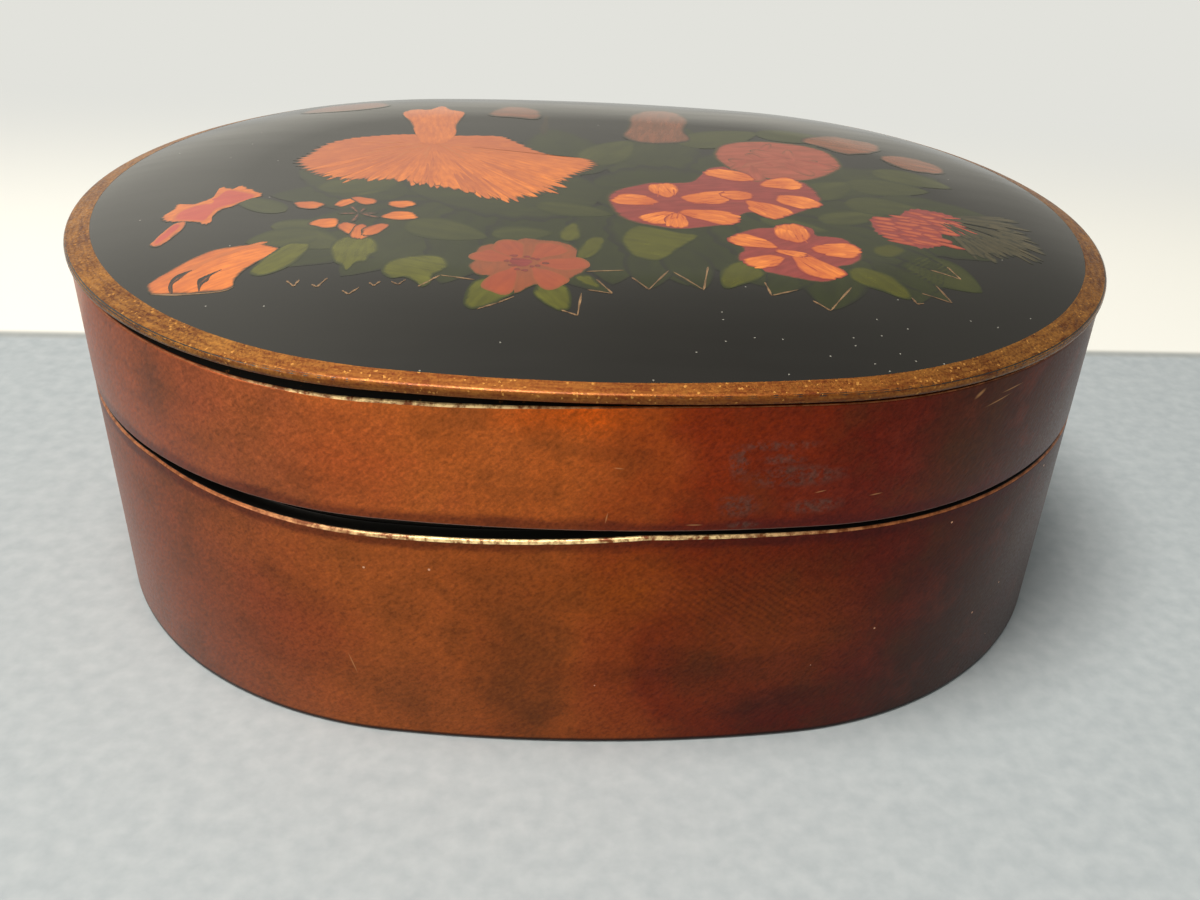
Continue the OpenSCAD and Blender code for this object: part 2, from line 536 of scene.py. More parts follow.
def copper_leaf_lacquer():
    """Copper leaf under amber lacquer, rubbed down by hand.

    The leaf glows through the lacquer with a satin metal sheen, rosy where the lacquer
    is thin and deep red where it lies thick; it is drawn darker towards the +X end, partly
    as painted shade of the side turned from the light. Its fine wrinkles catch the light,
    stains turn it olive or orange, and the clear coat gives pale reflections at grazing angles.
    """
    name = "copper_leaf_under_amber_lacquer"
    if name in bpy.data.materials:
        return bpy.data.materials[name]
    material, tree, shader = new_material(name)
    place = add(tree, "ShaderNodeTexCoord").outputs["Object"]
    wall = add(tree, "ShaderNodeUVMap", {"uv_map": "along_wall"})
    split = add(tree, "ShaderNodeSeparateXYZ", {}, {"Vector": wall})
    clouds = add(tree, "ShaderNodeTexNoise",
                 {"Scale": per_mm(22), "Detail": 4.0, "Roughness": 0.55}, {"Vector": place})

    # Tones of the leaf from the -X end over the front or back to the +X end, with cloudy
    # borders: how far along, from -1 to 1, and the leaf's colour under its lacquer there.
    # The darkening towards the +X end is partly thicker lacquer and partly painted shade
    # of the side turned away from the light
    tones_with_side_shade = [(-0.75, "#a4532e"), (-0.45, "#c4662a"), (-0.12, colours().copper),
             (0.06, "#a84812"), (0.2, "#8e2e04"), (0.46, colours().amber), (0.72, "#4c1e0c")]
    haze = 0.5
    turn = add(tree, "ShaderNodeMath",
               {"operation": "MULTIPLY", 1: math.pi / HALF_RUN}, {0: split.outputs["X"]})
    end = add(tree, "ShaderNodeMath", {"operation": "SINE"}, {0: turn})
    cloudy = add(tree, "ShaderNodeMath", {"operation": "MULTIPLY_ADD", 1: haze},
                 {0: clouds, 2: end})
    leaf = add(tree, "ShaderNodeMix", {"data_type": "RGBA", 6: tones_with_side_shade[0][1], 7: tones_with_side_shade[0][1]})
    for (before, _), (after, shade) in zip(tones_with_side_shade, tones_with_side_shade[1:]):
        share = add(tree, "ShaderNodeMapRange",
                    {"From Min": before + haze / 2, "From Max": after + haze / 2,
                     "interpolation_type": "SMOOTHSTEP"},
                    {"Value": cloudy})
        leaf = add(tree, "ShaderNodeMix", {"data_type": "RGBA", 7: shade}, {0: share, 6: leaf})

    # Stains with ragged borders, smeared along the wall
    drawn = add(tree, "ShaderNodeMapping", {"Scale": (0.3, 1.0, 1.0)}, {"Vector": wall})
    smear = add(tree, "ShaderNodeTexNoise",
                {"Scale": per_mm(3.2), "Detail": 4.0, "Roughness": 0.6}, {"Vector": drawn})
    ragged = add(tree, "ShaderNodeVectorMath",
                 {"operation": "MULTIPLY_ADD", 1: (9 * MM, 7 * MM, 0)},
                 {0: smear.outputs["Color"], 2: wall})
    spot = add(tree, "ShaderNodeVectorMath",
               {"operation": "SUBTRACT", 1: (4.5 * MM, 3.5 * MM, 0)}, {0: ragged})
    for shade, strength, *where in STAINS:
        mask = oval_mask(tree, spot, *where, 1.0, strength)
        leaf = add(tree, "ShaderNodeMix", {"data_type": "RGBA", 7: shade}, {0: mask, 6: leaf})

    # Streaks, tarnish and rosy places: colour, pattern, its first and full value, strength
    mottle = add(tree, "ShaderNodeTexNoise",
                 {"Scale": per_mm(7), "Detail": 3.0, "Roughness": 0.6}, {"Vector": place})
    for shade, pattern, first, full, strength in (
            ("#451c0c", smear, 0.5, 0.75, 0.16), ("#5c3614", mottle, 0.48, 0.68, 0.3),
            ("#b0482a", mottle, 0.46, 0.3, 0.14)):
        share = add(tree, "ShaderNodeMapRange",
                    {"From Min": first, "From Max": full, "To Max": strength},
                    {"Value": pattern})
        leaf = add(tree, "ShaderNodeMix", {"data_type": "RGBA", 7: shade}, {0: share, 6: leaf})

    # Maroon lacquer gathered along both sides of the parting line
    off = add(tree, "ShaderNodeMath", {"operation": "SUBTRACT", 1: BODY_HIGH.z + 0.3 * MM},
              {0: split.outputs["Y"]})
    away = add(tree, "ShaderNodeMath", {"operation": "ABSOLUTE"}, {0: off})
    uneven = add(tree, "ShaderNodeMath", {"operation": "MULTIPLY_ADD", 1: -2.4 * MM},
                 {0: smear, 2: away})
    gathered = add(tree, "ShaderNodeMapRange",
                   {"From Min": 0.2 * MM, "From Max": 1.6 * MM, "To Min": 0.6, "To Max": 0.0,
                    "interpolation_type": "SMOOTHSTEP"},
                   {"Value": uneven})

    # Grey film, in broken patches
    wavy = add(tree, "ShaderNodeVectorMath",
               {"operation": "MULTIPLY_ADD", 1: (2 * MM, 2 * MM, 0)},
               {0: smear.outputs["Color"], 2: wall})
    film = None
    for where in FILM:
        mask = oval_mask(tree, wavy, *where, 0, 0.6)
        film = add(tree, "ShaderNodeMath", {"operation": "MAXIMUM"},
                   {0: film, 1: mask}) if film else mask
    torn = add(tree, "ShaderNodeTexNoise",
               {"Scale": per_mm(1.1), "Detail": 3.0, "Roughness": 0.65}, {"Vector": place})
    left = add(tree, "ShaderNodeMapRange",
               {"From Min": 0.4, "From Max": 0.58, "To Max": 0.6}, {"Value": torn})
    kept = add(tree, "ShaderNodeMath", {"operation": "MULTIPLY"}, {0: film, 1: left})

    # Tracks of the rubbing stone on the body's front, drawn 0.9 mm apart to show at all
    across = add(tree, "ShaderNodeMapping", {"Rotation": (0, 0, math.radians(-52))},
                 {"Vector": wall})
    tracks = add(tree, "ShaderNodeTexWave",
                 {"Scale": per_mm(2.9), "Distortion": 2.0, "Detail": 2.0}, {"Vector": across})
    rubbed_here = oval_mask(tree, wall, 20, 26, 26, 11, -8, 1.0, 0.3)
    hatch = add(tree, "ShaderNodeMath", {"operation": "MULTIPLY"},
                {0: tracks.outputs["Fac"], 1: rubbed_here})
    for shade, share in (("#4c0f0e", gathered), ("#64483c", kept), ("#3a1206", hatch)):
        leaf = add(tree, "ShaderNodeMix", {"data_type": "RGBA", 7: shade}, {0: share, 6: leaf})

    # Slanting wrinkles about half a millimetre apart, over the leaf's finer grain
    slant = add(tree, "ShaderNodeMapping",
                {"vector_type": "TEXTURE", "Rotation": (0, 0, math.radians(42)),
                 "Scale": (2.2, 1.0, 1.0)},
                {"Vector": wall})
    wrinkles = add(tree, "ShaderNodeTexNoise",
                   {"Scale": per_mm(0.55), "Detail": 2.0, "Distortion": 0.4},
                   {"Vector": slant})
    grain = add(tree, "ShaderNodeTexNoise",
                {"Scale": per_mm(0.42), "Detail": 2.0, "Roughness": 0.7}, {"Vector": place})
    both = add(tree, "ShaderNodeMath", {"operation": "MULTIPLY_ADD", 1: 0.8},
               {0: wrinkles, 2: grain})
    tone = add(tree, "ShaderNodeMapRange",
               {"From Min": 0.6, "From Max": 1.2, "To Min": 0.66, "To Max": 1.34},
               {"Value": both})

    # The body has darkened more than the lid
    lower = add(tree, "ShaderNodeMapRange",
                {"From Min": BODY_HIGH.z + 0.2 * MM, "From Max": BODY_HIGH.z + 0.5 * MM,
                 "To Min": 0.74},
                {"Value": split.outputs["Y"]})
    level = add(tree, "ShaderNodeMath", {"operation": "MULTIPLY"}, {0: tone, 1: lower})
    finish = add(tree, "ShaderNodeVectorMath", {"operation": "SCALE"}, {0: leaf, "Scale": level})

    # Scratches and a few pale specks, a third of a millimetre wide
    for where in SCRATCHES:
        mask = oval_mask(tree, wall, *where, 0.8, 0.5)
        finish = add(tree, "ShaderNodeMix", {"data_type": "RGBA", 7: "#e0a468"},
                     {0: mask, 6: finish})
    specks = dust_specks(tree, place, 4.5, 0.86, 0.04)

    # The lid strip's lower arris is rubbed pale, and the foot of the body is darkened as painted
    # contact shade where it meets the floor
    level_only = add(tree, "ShaderNodeCombineXYZ", {}, {"Y": split.outputs["Y"]})
    pale = oval_mask(tree, level_only, 0, LID_LOW.z / MM + 0.05, 1, 0.3, 0, 0.4, 0.6)
    foot = oval_mask(tree, level_only, 0, -0.2, 1, 1.2, 0, 0.4, 0.9)
    for shade, share in (("#e8b088", specks), ("#a08c84", pale), ("#1c0e06", foot)):
        finish = add(tree, "ShaderNodeMix", {"data_type": "RGBA", 7: shade},
                     {0: share, 6: finish})

    relief = add(tree, "ShaderNodeBump", {"Strength": 0.5, "Distance": 0.05 * MM},
                 {"Height": wrinkles})
    rubbed = add(tree, "ShaderNodeBump", {"Strength": 0.4, "Distance": 0.02 * MM},
                 {"Height": grain, "Normal": relief})
    rough = add(tree, "ShaderNodeMapRange",
                {"From Min": 0.3, "From Max": 0.7, "To Min": 0.36, "To Max": 0.5},
                {"Value": grain})
    set_up(shader,
           {"Metallic": 0.8, "Specular IOR Level": 0.1, "Coat Weight": 0.2,
            "Coat Roughness": 0.14, "Coat IOR": 1.5},
           {"Base Color": finish, "Roughness": rough, "Normal": rubbed, "Coat Normal": relief})
    return material


def black_lacquer(name, roughness, coat, dusty=False):
    """Black lacquer, brushed on in many coats and polished.

    Nearly black seen straight on, it mirrors pale surroundings as grey towards
    grazing angles. A few specks of dust and faint wipe marks break the mirror.
    """
    material, tree, shader = new_material(name)
    place = add(tree, "ShaderNodeTexCoord").outputs["Object"]
    cloud = add(tree, "ShaderNodeTexNoise", {"Scale": per_mm(30), "Detail": 3.0},
                {"Vector": place})
    faded = add(tree, "ShaderNodeMapRange",
                {"From Min": 0.4, "From Max": 0.7, "To Max": 0.25}, {"Value": cloud})
    ground = add(tree, "ShaderNodeMix",
                 {"data_type": "RGBA", 6: colours().black, 7: "#272521"}, {0: faded})
    if dusty:
        settled = oval_mask(tree, place, 28, -50, 42, 17, 12, 1.0, 0.12)
        specks = dust_specks(tree, place, 1.9, 0.99, 0.06, settled, "2D")
        ground = add(tree, "ShaderNodeMix", {"data_type": "RGBA", 7: "#84827a"},
                     {0: specks, 6: ground})
    wiped = add(tree, "ShaderNodeMapping", {"Scale": (0.25, 2.0, 1.0)}, {"Vector": place})
    marks = add(tree, "ShaderNodeTexNoise", {"Scale": per_mm(6), "Detail": 4.0},
                {"Vector": wiped})
    uneven = add(tree, "ShaderNodeBump", {"Strength": 0.08, "Distance": 0.1 * MM},
                 {"Height": marks})
    rough = add(tree, "ShaderNodeMapRange",
                {"From Min": 0.3, "From Max": 0.7, "To Min": roughness * 0.85,
                 "To Max": roughness * 1.2},
                {"Value": marks})
    set_up(shader, {"IOR": 1.5, "Coat Weight": coat, "Coat Roughness": roughness * 0.6},
           {"Base Color": ground, "Roughness": rough, "Normal": uneven})
    return material


def bronze_powder_paint():
    """Bronze powder in varnish, brushed along the lid's edge.

    Brown where it has worn thin, with bright flakes that are drawn here a quarter of a
    millimetre wide, and streaks along the brush's way. At the front it is redder.
    """
    material, tree, shader = new_material("bronze_powder_paint")
    place = add(tree, "ShaderNodeTexCoord").outputs["Object"]
    band = add(tree, "ShaderNodeUVMap", {"uv_map": "UVMap"})
    flakes = add(tree, "ShaderNodeTexVoronoi", {"Scale": per_mm(0.26)}, {"Vector": place})
    flake = add(tree, "ShaderNodeSeparateColor", {}, {"Color": flakes.outputs["Color"]})
    drawn = add(tree, "ShaderNodeMapping", {"Scale": (0.12, 1.0, 1.0)}, {"Vector": band})
    streaks = add(tree, "ShaderNodeTexNoise",
                  {"Scale": per_mm(0.5), "Detail": 3.0, "Roughness": 0.6}, {"Vector": drawn})
    worn = add(tree, "ShaderNodeTexNoise",
               {"Scale": per_mm(6), "Detail": 5.0, "Roughness": 0.6}, {"Vector": place})
    tone = add(tree, "ShaderNodeMath", {"operation": "MULTIPLY_ADD", 1: 0.32},
               {0: flake, 2: streaks})
    uneven = add(tree, "ShaderNodeMath", {"operation": "MULTIPLY_ADD", 1: 0.7},
                 {0: worn, 2: tone})
    ramp = add(tree, "ShaderNodeMapRange", {"From Min": 0.72, "From Max": 1.3}, {"Value": uneven})
    metal = add(tree, "ShaderNodeMix",
                {"data_type": "RGBA", 6: "#582808", 7: colours().gold}, {0: ramp})
    split = add(tree, "ShaderNodeSeparateXYZ", {}, {"Vector": place})
    front = add(tree, "ShaderNodeMapRange",
                {"From Min": -48 * MM, "From Max": -62 * MM, "To Max": 0.5,
                 "interpolation_type": "SMOOTHSTEP"},
                {"Value": split.outputs["Y"]})
    glint = add(tree, "ShaderNodeMath", {"operation": "GREATER_THAN", 1: 0.98},
                {0: flake.outputs[1]})
    for shade, share in (("#7c3608", front), ("#b8823e", glint)):
        metal = add(tree, "ShaderNodeMix", {"data_type": "RGBA", 7: shade}, {0: share, 6: metal})
    rough = add(tree, "ShaderNodeMapRange", {"To Min": 0.35, "To Max": 0.6},
                {"Value": flake.outputs[1]})
    relief = add(tree, "ShaderNodeBump", {"Strength": 0.4, "Distance": 0.03 * MM},
                 {"Height": flake.outputs[2]})
    set_up(shader,
           {"Metallic": 0.75, "Specular IOR Level": 0.3, "Coat Weight": 0.15,
            "Coat Roughness": 0.25},
           {"Base Color": metal, "Roughness": rough, "Normal": relief})
    return material


def bare_leaf_and_highlight():
    """Leaf laid bare on a worn arris: thin and broken, and bright as a painted highlight where the
    light catches the arris.
    """
    material, tree, shader = new_material("worn_leaf_painted_highlight")
    place = add(tree, "ShaderNodeTexCoord").outputs["Object"]
    breaks = add(tree, "ShaderNodeTexNoise",
                 {"Scale": per_mm(1.6), "Detail": 4.0, "Roughness": 0.7}, {"Vector": place})
    broken = add(tree, "ShaderNodeMapRange", {"From Min": 0.42, "From Max": 0.6},
                 {"Value": breaks})
    wear_and_highlight = add(tree, "ShaderNodeAttribute", {"attribute_name": "tone"})
    less = add(tree, "ShaderNodeMix",
               {"data_type": "RGBA", 6: "#a8501a", 7: colours().bare_gold_highlight},
               {0: wear_and_highlight.outputs["Fac"]})
    metal = add(tree, "ShaderNodeMix", {"data_type": "RGBA", 7: "#7a3f16"}, {0: broken, 6: less})
    set_up(shader, {"Metallic": 0.4, "Roughness": 0.35}, {"Base Color": metal})
    return material


def joint_filler_and_shade():
    """Black filler and grime in the open joint under the lid board, quite dull, and so dark also as
    painted shade of the open gap.
    """
    material, tree, shader = new_material("black_joint_filler_and_shade")
    place = add(tree, "ShaderNodeTexCoord").outputs["Object"]
    grit = add(tree, "ShaderNodeTexNoise",
               {"Scale": per_mm(1.1), "Detail": 5.0, "Roughness": 0.75}, {"Vector": place})
    flecks = add(tree, "ShaderNodeMapRange", {"From Min": 0.61, "From Max": 0.69},
                 {"Value": grit})
    dark = add(tree, "ShaderNodeMix", {"data_type": "RGBA", 6: "#0c0907", 7: "#8a5a2a"},
               {0: flecks})
    set_up(shader, {"Roughness": 0.55, "Specular IOR Level": 0.3}, {"Base Color": dark})
    return material


def brushed_paint(name, main, shade, light, under, streak, contrast, soft):
    """Tempera put on with a small brush, under the same varnish as the lacquer.

    Streaks run along each stroke, streak millimetres apart, and every stroke has its
    own tone. Towards its rim the brush ran dry, so that what lies under it shows
    between the hairs' tracks and leaves the edge ragged, over a width that soft sets.
    """
    material, tree, shader = new_material(name)
    stroke = add(tree, "ShaderNodeUVMap", {"uv_map": "UVMap"})
    place = add(tree, "ShaderNodeTexCoord").outputs["Object"]
    drawn = add(tree, "ShaderNodeMapping", {"Scale": (0.2, 1.0, 1.0)}, {"Vector": stroke})
    tone = add(tree, "ShaderNodeAttribute", {"attribute_name": "tone"})
    rim = add(tree, "ShaderNodeAttribute", {"attribute_name": "rim"})
    hairs = add(tree, "ShaderNodeTexNoise",
                {"Scale": per_mm(streak), "Detail": 4.0, "Roughness": 0.6},
                {"Vector": drawn})
    cover = add(tree, "ShaderNodeTexNoise", {"Scale": per_mm(3.5), "Detail": 4.0},
                {"Vector": place})
    streaks = add(tree, "ShaderNodeMapRange",
                  {"From Min": 0.36, "From Max": 0.66, "To Max": contrast}, {"Value": hairs})
    patchy = add(tree, "ShaderNodeMapRange",
                 {"From Min": 0.35, "From Max": 0.7, "To Max": contrast * 0.7},
                 {"Value": cover})

    # How dry a brush is, told by its hairs and its rim, before it leaves nothing at all
    driest = 1.27
    dry = add(tree, "ShaderNodeMath", {"operation": "MULTIPLY_ADD", 1: 0.6},
              {0: hairs, 2: rim.outputs["Fac"]})
    bare = add(tree, "ShaderNodeMapRange",
               {"From Min": driest - soft, "From Max": driest,
                "interpolation_type": "SMOOTHSTEP"},
               {"Value": dry})
    coat = add(tree, "ShaderNodeMix", {"data_type": "RGBA", 6: main, 7: light},
               {0: tone.outputs["Fac"]})
    for over, share in ((shade, streaks), (shade, patchy), (under, bare)):
        coat = add(tree, "ShaderNodeMix", {"data_type": "RGBA", 7: over}, {0: share, 6: coat})
    relief = add(tree, "ShaderNodeBump", {"Strength": 0.12, "Distance": 0.02 * MM},
                 {"Height": hairs})
    set_up(shader, {"Roughness": 0.2, "IOR": 1.5}, {"Base Color": coat, "Normal": relief})
    return material


# The wooden pieces


class LACQUERBOX_OT_bottom(bpy.types.Operator):
    """Make the board that closes the bottom"""

    bl_idname = "lacquerbox.bottom"
    bl_label = "Bottom board"
    bl_options = {"REGISTER", "UNDO"}

    def execute(self, context):
        rounding = 0.3 * MM
        middle = WALL_THICKNESS + 20 * MM
        flat = middle - WALL_THICKNESS - rounding
        board = start_point(middle, BASE_LOW.z)
        draw_on(-flat, 0)
        curve_on(WALL_THICKNESS + rounding, BASE_LOW.z + rounding, math.pi / 2, steps=3)
        draw_on(0, BASE_HIGH.z - BASE_LOW.z - 2 * rounding)
        curve_on(WALL_THICKNESS + rounding, BASE_HIGH.z - rounding, math.pi / 2, steps=3)
        draw_on(flat, 0)
        sweep_board(board)
        finish = black_lacquer("satin_black_bottom", roughness=0.34, coat=0.2)
        dress(board, "bottom_board", "box", [finish], ["base_board"])
        return {"FINISHED"}


def leaf_outside(strip):
    """Lays a strip's first finish on its outer side and outer arrises."""
    arris_reach = 0.4 * MM
    steepest = math.sin(math.radians(60))
    for face in strip.data.polygons:
        inset = inset_of(face.center.x, face.center.y)
        if inset < arris_reach and abs(face.normal.z) < steepest:
            face.material_index = 0


class LACQUERBOX_OT_body_strip(bpy.types.Operator):
    """Bend the body's strip, with its worn rim, and leaf its outside"""

    bl_idname = "lacquerbox.body_strip"
    bl_label = "Body strip"
    bl_options = {"REGISTER", "UNDO"}

    def execute(self, context):
        arris = sizes().arris_radius
        strip = bent_strip(0, WALL_THICKNESS, BODY_LOW.z, BODY_HIGH.z, arris)
        for point in strip.data.vertices:
            if point.co.z > BODY_HIGH.z - 2 * arris:
                point.co.z -= dip_at(point.co.x, point.co.y)
        unroll(strip, dip_at)
        inside = black_lacquer("satin_black_inside", roughness=0.3, coat=0.3)
        dress(strip, "body_strip", "box", [copper_leaf_lacquer(), inside],
              ["body_wall"])
        for face in strip.data.polygons:
            face.material_index = 1
        leaf_outside(strip)
        return {"FINISHED"}


class LACQUERBOX_OT_liner(bpy.types.Operator):
    """Bend the inner strip that holds the lid"""

    bl_idname = "lacquerbox.liner"
    bl_label = "Liner strip"
    bl_options = {"REGISTER", "UNDO"}

    def execute(self, context):
        s = sizes()
        liner = bent_strip(WALL_THICKNESS, s.liner_thickness, LINER_LOW.z, LINER_HIGH.z,
                           s.arris_radius)
        finish = black_lacquer("black_liner_lacquer", roughness=0.26, coat=0.3)
        dress(liner, "liner_strip", "box", [finish], ["inner_liner"])
        return {"FINISHED"}


# The joint under the lid board is ragged, and wanders slowly besides
joint_ragged = wobble(21, range(12, 70))
joint_slow = wobble(22, range(2, 9))


def joint_open(run):
    """How far the joint under the lid board stands open, widest at the front left."""
    hill = bump_at(run, -38 * MM, 52 * MM)
    ragged = (0.04 + 0.1 * hill) * joint_ragged(run)
    return (0.27 + 1.15 * hill + 0.05 * joint_slow(run) + ragged) * MM


class LACQUERBOX_OT_lid_strip(bpy.types.Operator):
    """Bend the lid's strip, with the open joint over it"""

    bl_idname = "lacquerbox.lid_strip"
    bl_label = "Lid strip"
    bl_options = {"REGISTER", "UNDO"}

    def execute(self, context):
        s = sizes()
        strip = bent_strip(0, s.lid_wall_thickness, LID_LOW.z, LID_HIGH.z, s.arris_radius)
        for point in strip.data.vertices:
            outside = inset_of(point.co.x, point.co.y) < s.lid_wall_thickness / 2
            if outside and point.co.z > LID_HIGH.z - 2 * s.arris_radius:
                side = 1 if point.co.x >= 0 else -1
                point.co.z -= joint_open(side * run_of(point.co.x, point.co.y))
        unroll(strip)
        inside = black_lacquer("satin_black_lid_inside", roughness=0.3, coat=0.3)
        dress(strip, "lid_strip", "lid",
              [copper_leaf_lacquer(), inside, joint_filler_and_shade()], ["lid_wall"])
        # The upward faces in the open joint take the dark filler, which also stands for painted
        # shade in the gap
        for face in strip.data.polygons:
            upwards = face.normal.z > 0.5
            face.material_index = 2 if upwards else 1
        leaf_outside(strip)
        return {"FINISHED"}


def edge_section():
    """Inset of both roundings of the lid board's edge, their heights and touch angle."""
    s = sizes()
    inset = s.edge_radius - OVERHANG
    touch = math.asin((crown_margin() - inset) / (s.crown_radius - s.edge_radius))
    upper = CROWN_TOP - s.crown_radius + (s.crown_radius - s.edge_radius) * math.cos(touch)
    return inset, SEAT + s.edge_radius, upper, touch


class LACQUERBOX_OT_lid_board(bpy.types.Operator):
    """Make the crowned board of the lid"""

    bl_idname = "lacquerbox.lid_board"
    bl_label = "Lid board"
    bl_options = {"REGISTER", "UNDO"}

    def execute(self, context):
        inset, lower, upper, touch = edge_section()
        middle = crown_margin()
        board = start_point(middle, SEAT)
        draw_on(-(middle - inset), 0)
        curve_on(inset, lower, math.pi / 2, steps=5)
        draw_on(0, upper - lower)
        curve_on(inset, upper, math.pi / 2 - touch, steps=5)
        curve_on(middle, CROWN_TOP - sizes().crown_radius, touch, steps=26)
        sweep_board(board)
        finish = black_lacquer("polished_black_lid_lacquer", roughness=0.19, coat=0.0, dusty=True)
        dress(board, "lid_top_board", "lid", [finish], ["lid_board"])
        return {"FINISHED"}


# Coatings along the edges


def edge_path(distance, lift):
    """Inset and height on the lid board's edge, so far on from the edge's underside."""
    s = sizes()
    inset, lower, upper, touch = edge_section()
    quarter = s.edge_radius * math.pi / 2
    upright = upper - lower
    bend = s.edge_radius * (math.pi / 2 - touch)
    if distance < quarter:
        angle = distance / s.edge_radius
        reach = s.edge_radius + lift
        return inset - reach * math.sin(angle), lower - reach * math.cos(angle)
    distance -= quarter
    if distance < upright:
        return inset - s.edge_radius - lift, lower + distance
    distance -= upright
    if distance < bend:
        angle = distance / s.edge_radius
        reach = s.edge_radius + lift
        return inset - reach * math.cos(angle), upper + reach * math.sin(angle)
    angle = touch - (distance - bend) / s.crown_radius
    reach = s.crown_radius + lift
    return (crown_margin() - reach * math.sin(angle),
            CROWN_TOP - s.crown_radius + reach * math.cos(angle))


class LACQUERBOX_OT_gold_band(bpy.types.Operator):
    """Paint the band, thinner than a hair, from under the edge onto the crown"""

    bl_idname = "lacquerbox.gold_band"
    bl_label = "Gold band"
    bl_options = {"REGISTER", "UNDO"}

    def execute(self, context):
        s = sizes()
        ragged = wobble(3, range(5, 60))
        slow = wobble(4, range(1, 5))
        start_share = 0.35
        start = start_share * s.edge_radius
        around = math.pi * s.edge_radius + s.edge_thickness - 2 * s.edge_radius

        def place(u, v):
            run = HALF_RUN * (2 * u - 1)
            share = math.sin(math.pi * run / HALF_RUN) ** 2
            wide = s.band_front + (s.band_width - s.band_front) * share
            end = around + wide + 0.2 * MM * slow(run) + 0.12 * MM * ragged(run)
            inset, height = edge_path(start + (end - start) * (v + 1) / 2, s.paint_thickness)
            x, y = oval_at(run, inset)
            return Vector((x, y, height))

        deselect()
        band = lay_sheet(columns=560, rows=14, place=place, long=2 * HALF_RUN, wide=s.band_width)
        thicken(band, s.paint_thickness)
        dress(band, "gold_edge_band", "lid", [bronze_powder_paint()])
        return {"FINISHED"}


def arris_ribbon(name, body, height_at, spread, worn, material):
    """A broken line of bare leaf along a rounded outer arris.

    spread(run) is the angle of the arris that it covers, in radians, and worn(run)
    says how bright it is, from 0 to 1, both as wear and as painted highlight.
    """
    radius = sizes().arris_radius
    thickness = 0.015 * MM
    lift = 0.02 * MM

    def place(u, v):
        run = HALF_RUN * (2 * u - 1)
        angle = math.radians(45) + v * spread(run) / 2
        reach = radius + lift
        x, y = oval_at(run, radius - reach * math.cos(angle))
        return Vector((x, y, height_at(run) - radius + reach * math.sin(angle)))

    deselect()
    ribbon = lay_sheet(columns=900, rows=3, place=place, long=2 * HALF_RUN, wide=MM,
                       tone=lambda u, v: worn(HALF_RUN * (2 * u - 1)))
    thicken(ribbon, thickness)
    dress(ribbon, name, body, [material])


class LACQUERBOX_OT_worn_arrises(bpy.types.Operator):
    """Bare the leaf along the body's rim and the top of the lid's wall, drawn bright as a painted
    highlight where the light catches them
    """

    bl_idname = "lacquerbox.worn_arrises"
    bl_label = "Worn arrises"
    bl_options = {"REGISTER", "UNDO"}

    def execute(self, context):
        leaf = bare_leaf_and_highlight()
        ragged = wobble(11, range(40, 160))
        slow = wobble(12, range(3, 12))
        right_angle = math.radians(90)

        def rim_spread(run):
            width = 0.5 + 0.5 * bump_at(run, -12 * MM, 56 * MM)
            return right_angle * max(0.1, width + 0.1 * ragged(run) + 0.08 * slow(run))

        # How bright the rim's bare leaf is: wear, and a painted highlight towards the front
        def rim_wear_and_highlight(run):
            return min(1.0, 0.1 + 1.3 * bump_at(run, -5 * MM, 46 * MM))

        def rim_height(run):
            return BODY_HIGH.z - dip_at(*oval_at(run))

        arris_ribbon("worn_body_rim_highlight", "box", rim_height, rim_spread, rim_wear_and_highlight, leaf)

        def top_spread(run):
            width = 0.22 + 0.55 * bump_at(run, -25 * MM, 28 * MM)
            return right_angle * max(0.05, width + 0.2 * ragged(-run) + 0.1 * slow(-run))

        # How bright the lid arris's bare leaf is: wear, and a painted highlight at the front left
        def top_wear_and_highlight(run):
            return min(1.0, 0.1 + 1.3 * bump_at(run, -25 * MM, 28 * MM))

        def top_height(run):
            return LID_HIGH.z - joint_open(run)

        arris_ribbon("worn_lid_arris_highlight", "lid", top_height, top_spread, top_wear_and_highlight, leaf)
        return {"FINISHED"}


# Painted flowers

# Brush marks in millimetres and degrees: the foot, the heading and the size
Mark = namedtuple("Mark", "x y heading long wide")

# Coats of paint from below upwards, the distance between them and between the strokes
# of one coat, and the thickness of a painted piece
COATS = ["shade", "leaf", "disc", "petal", "line"]
COAT_STEP = 0.004 * MM
STROKE_STEP = 0.0002 * MM
PAINT_DEPTH = 0.03 * MM


def on_lid(x, y, coat, step=0):
    """The point over the plan's x, y, in millimetres, on top of that coat of paint."""
    x, y = x * MM, y * MM
    lift = (COATS.index(coat) + 1) * COAT_STEP + step * STROKE_STEP
    return Vector((x, y, crown_height(x, y) + sizes().paint_thickness + lift))


def turned(mark, along, across):
    """A point of a mark, from its own along and across to the plan."""
    angle = math.radians(mark.heading)
    return (mark.x + along * math.cos(angle) - across * math.sin(angle),
            mark.y + along * math.sin(angle) + across * math.cos(angle))


def curve_through(before, start, end, after, share):
    """A point of the smooth curve from start to end, given its neighbours."""
    return tuple(
        (2 * b + (c - a) * share + (2 * a - 5 * b + 4 * c - d) * share ** 2
         + (3 * b - a - 3 * c + d) * share ** 3) / 2
        for a, b, c, d in zip(before, start, end, after)
    )


def zigzag(spot):
    """A wave of straight teeth, from 0 to 1 and back in every whole number."""
    return abs(2 * (spot % 1) - 1)


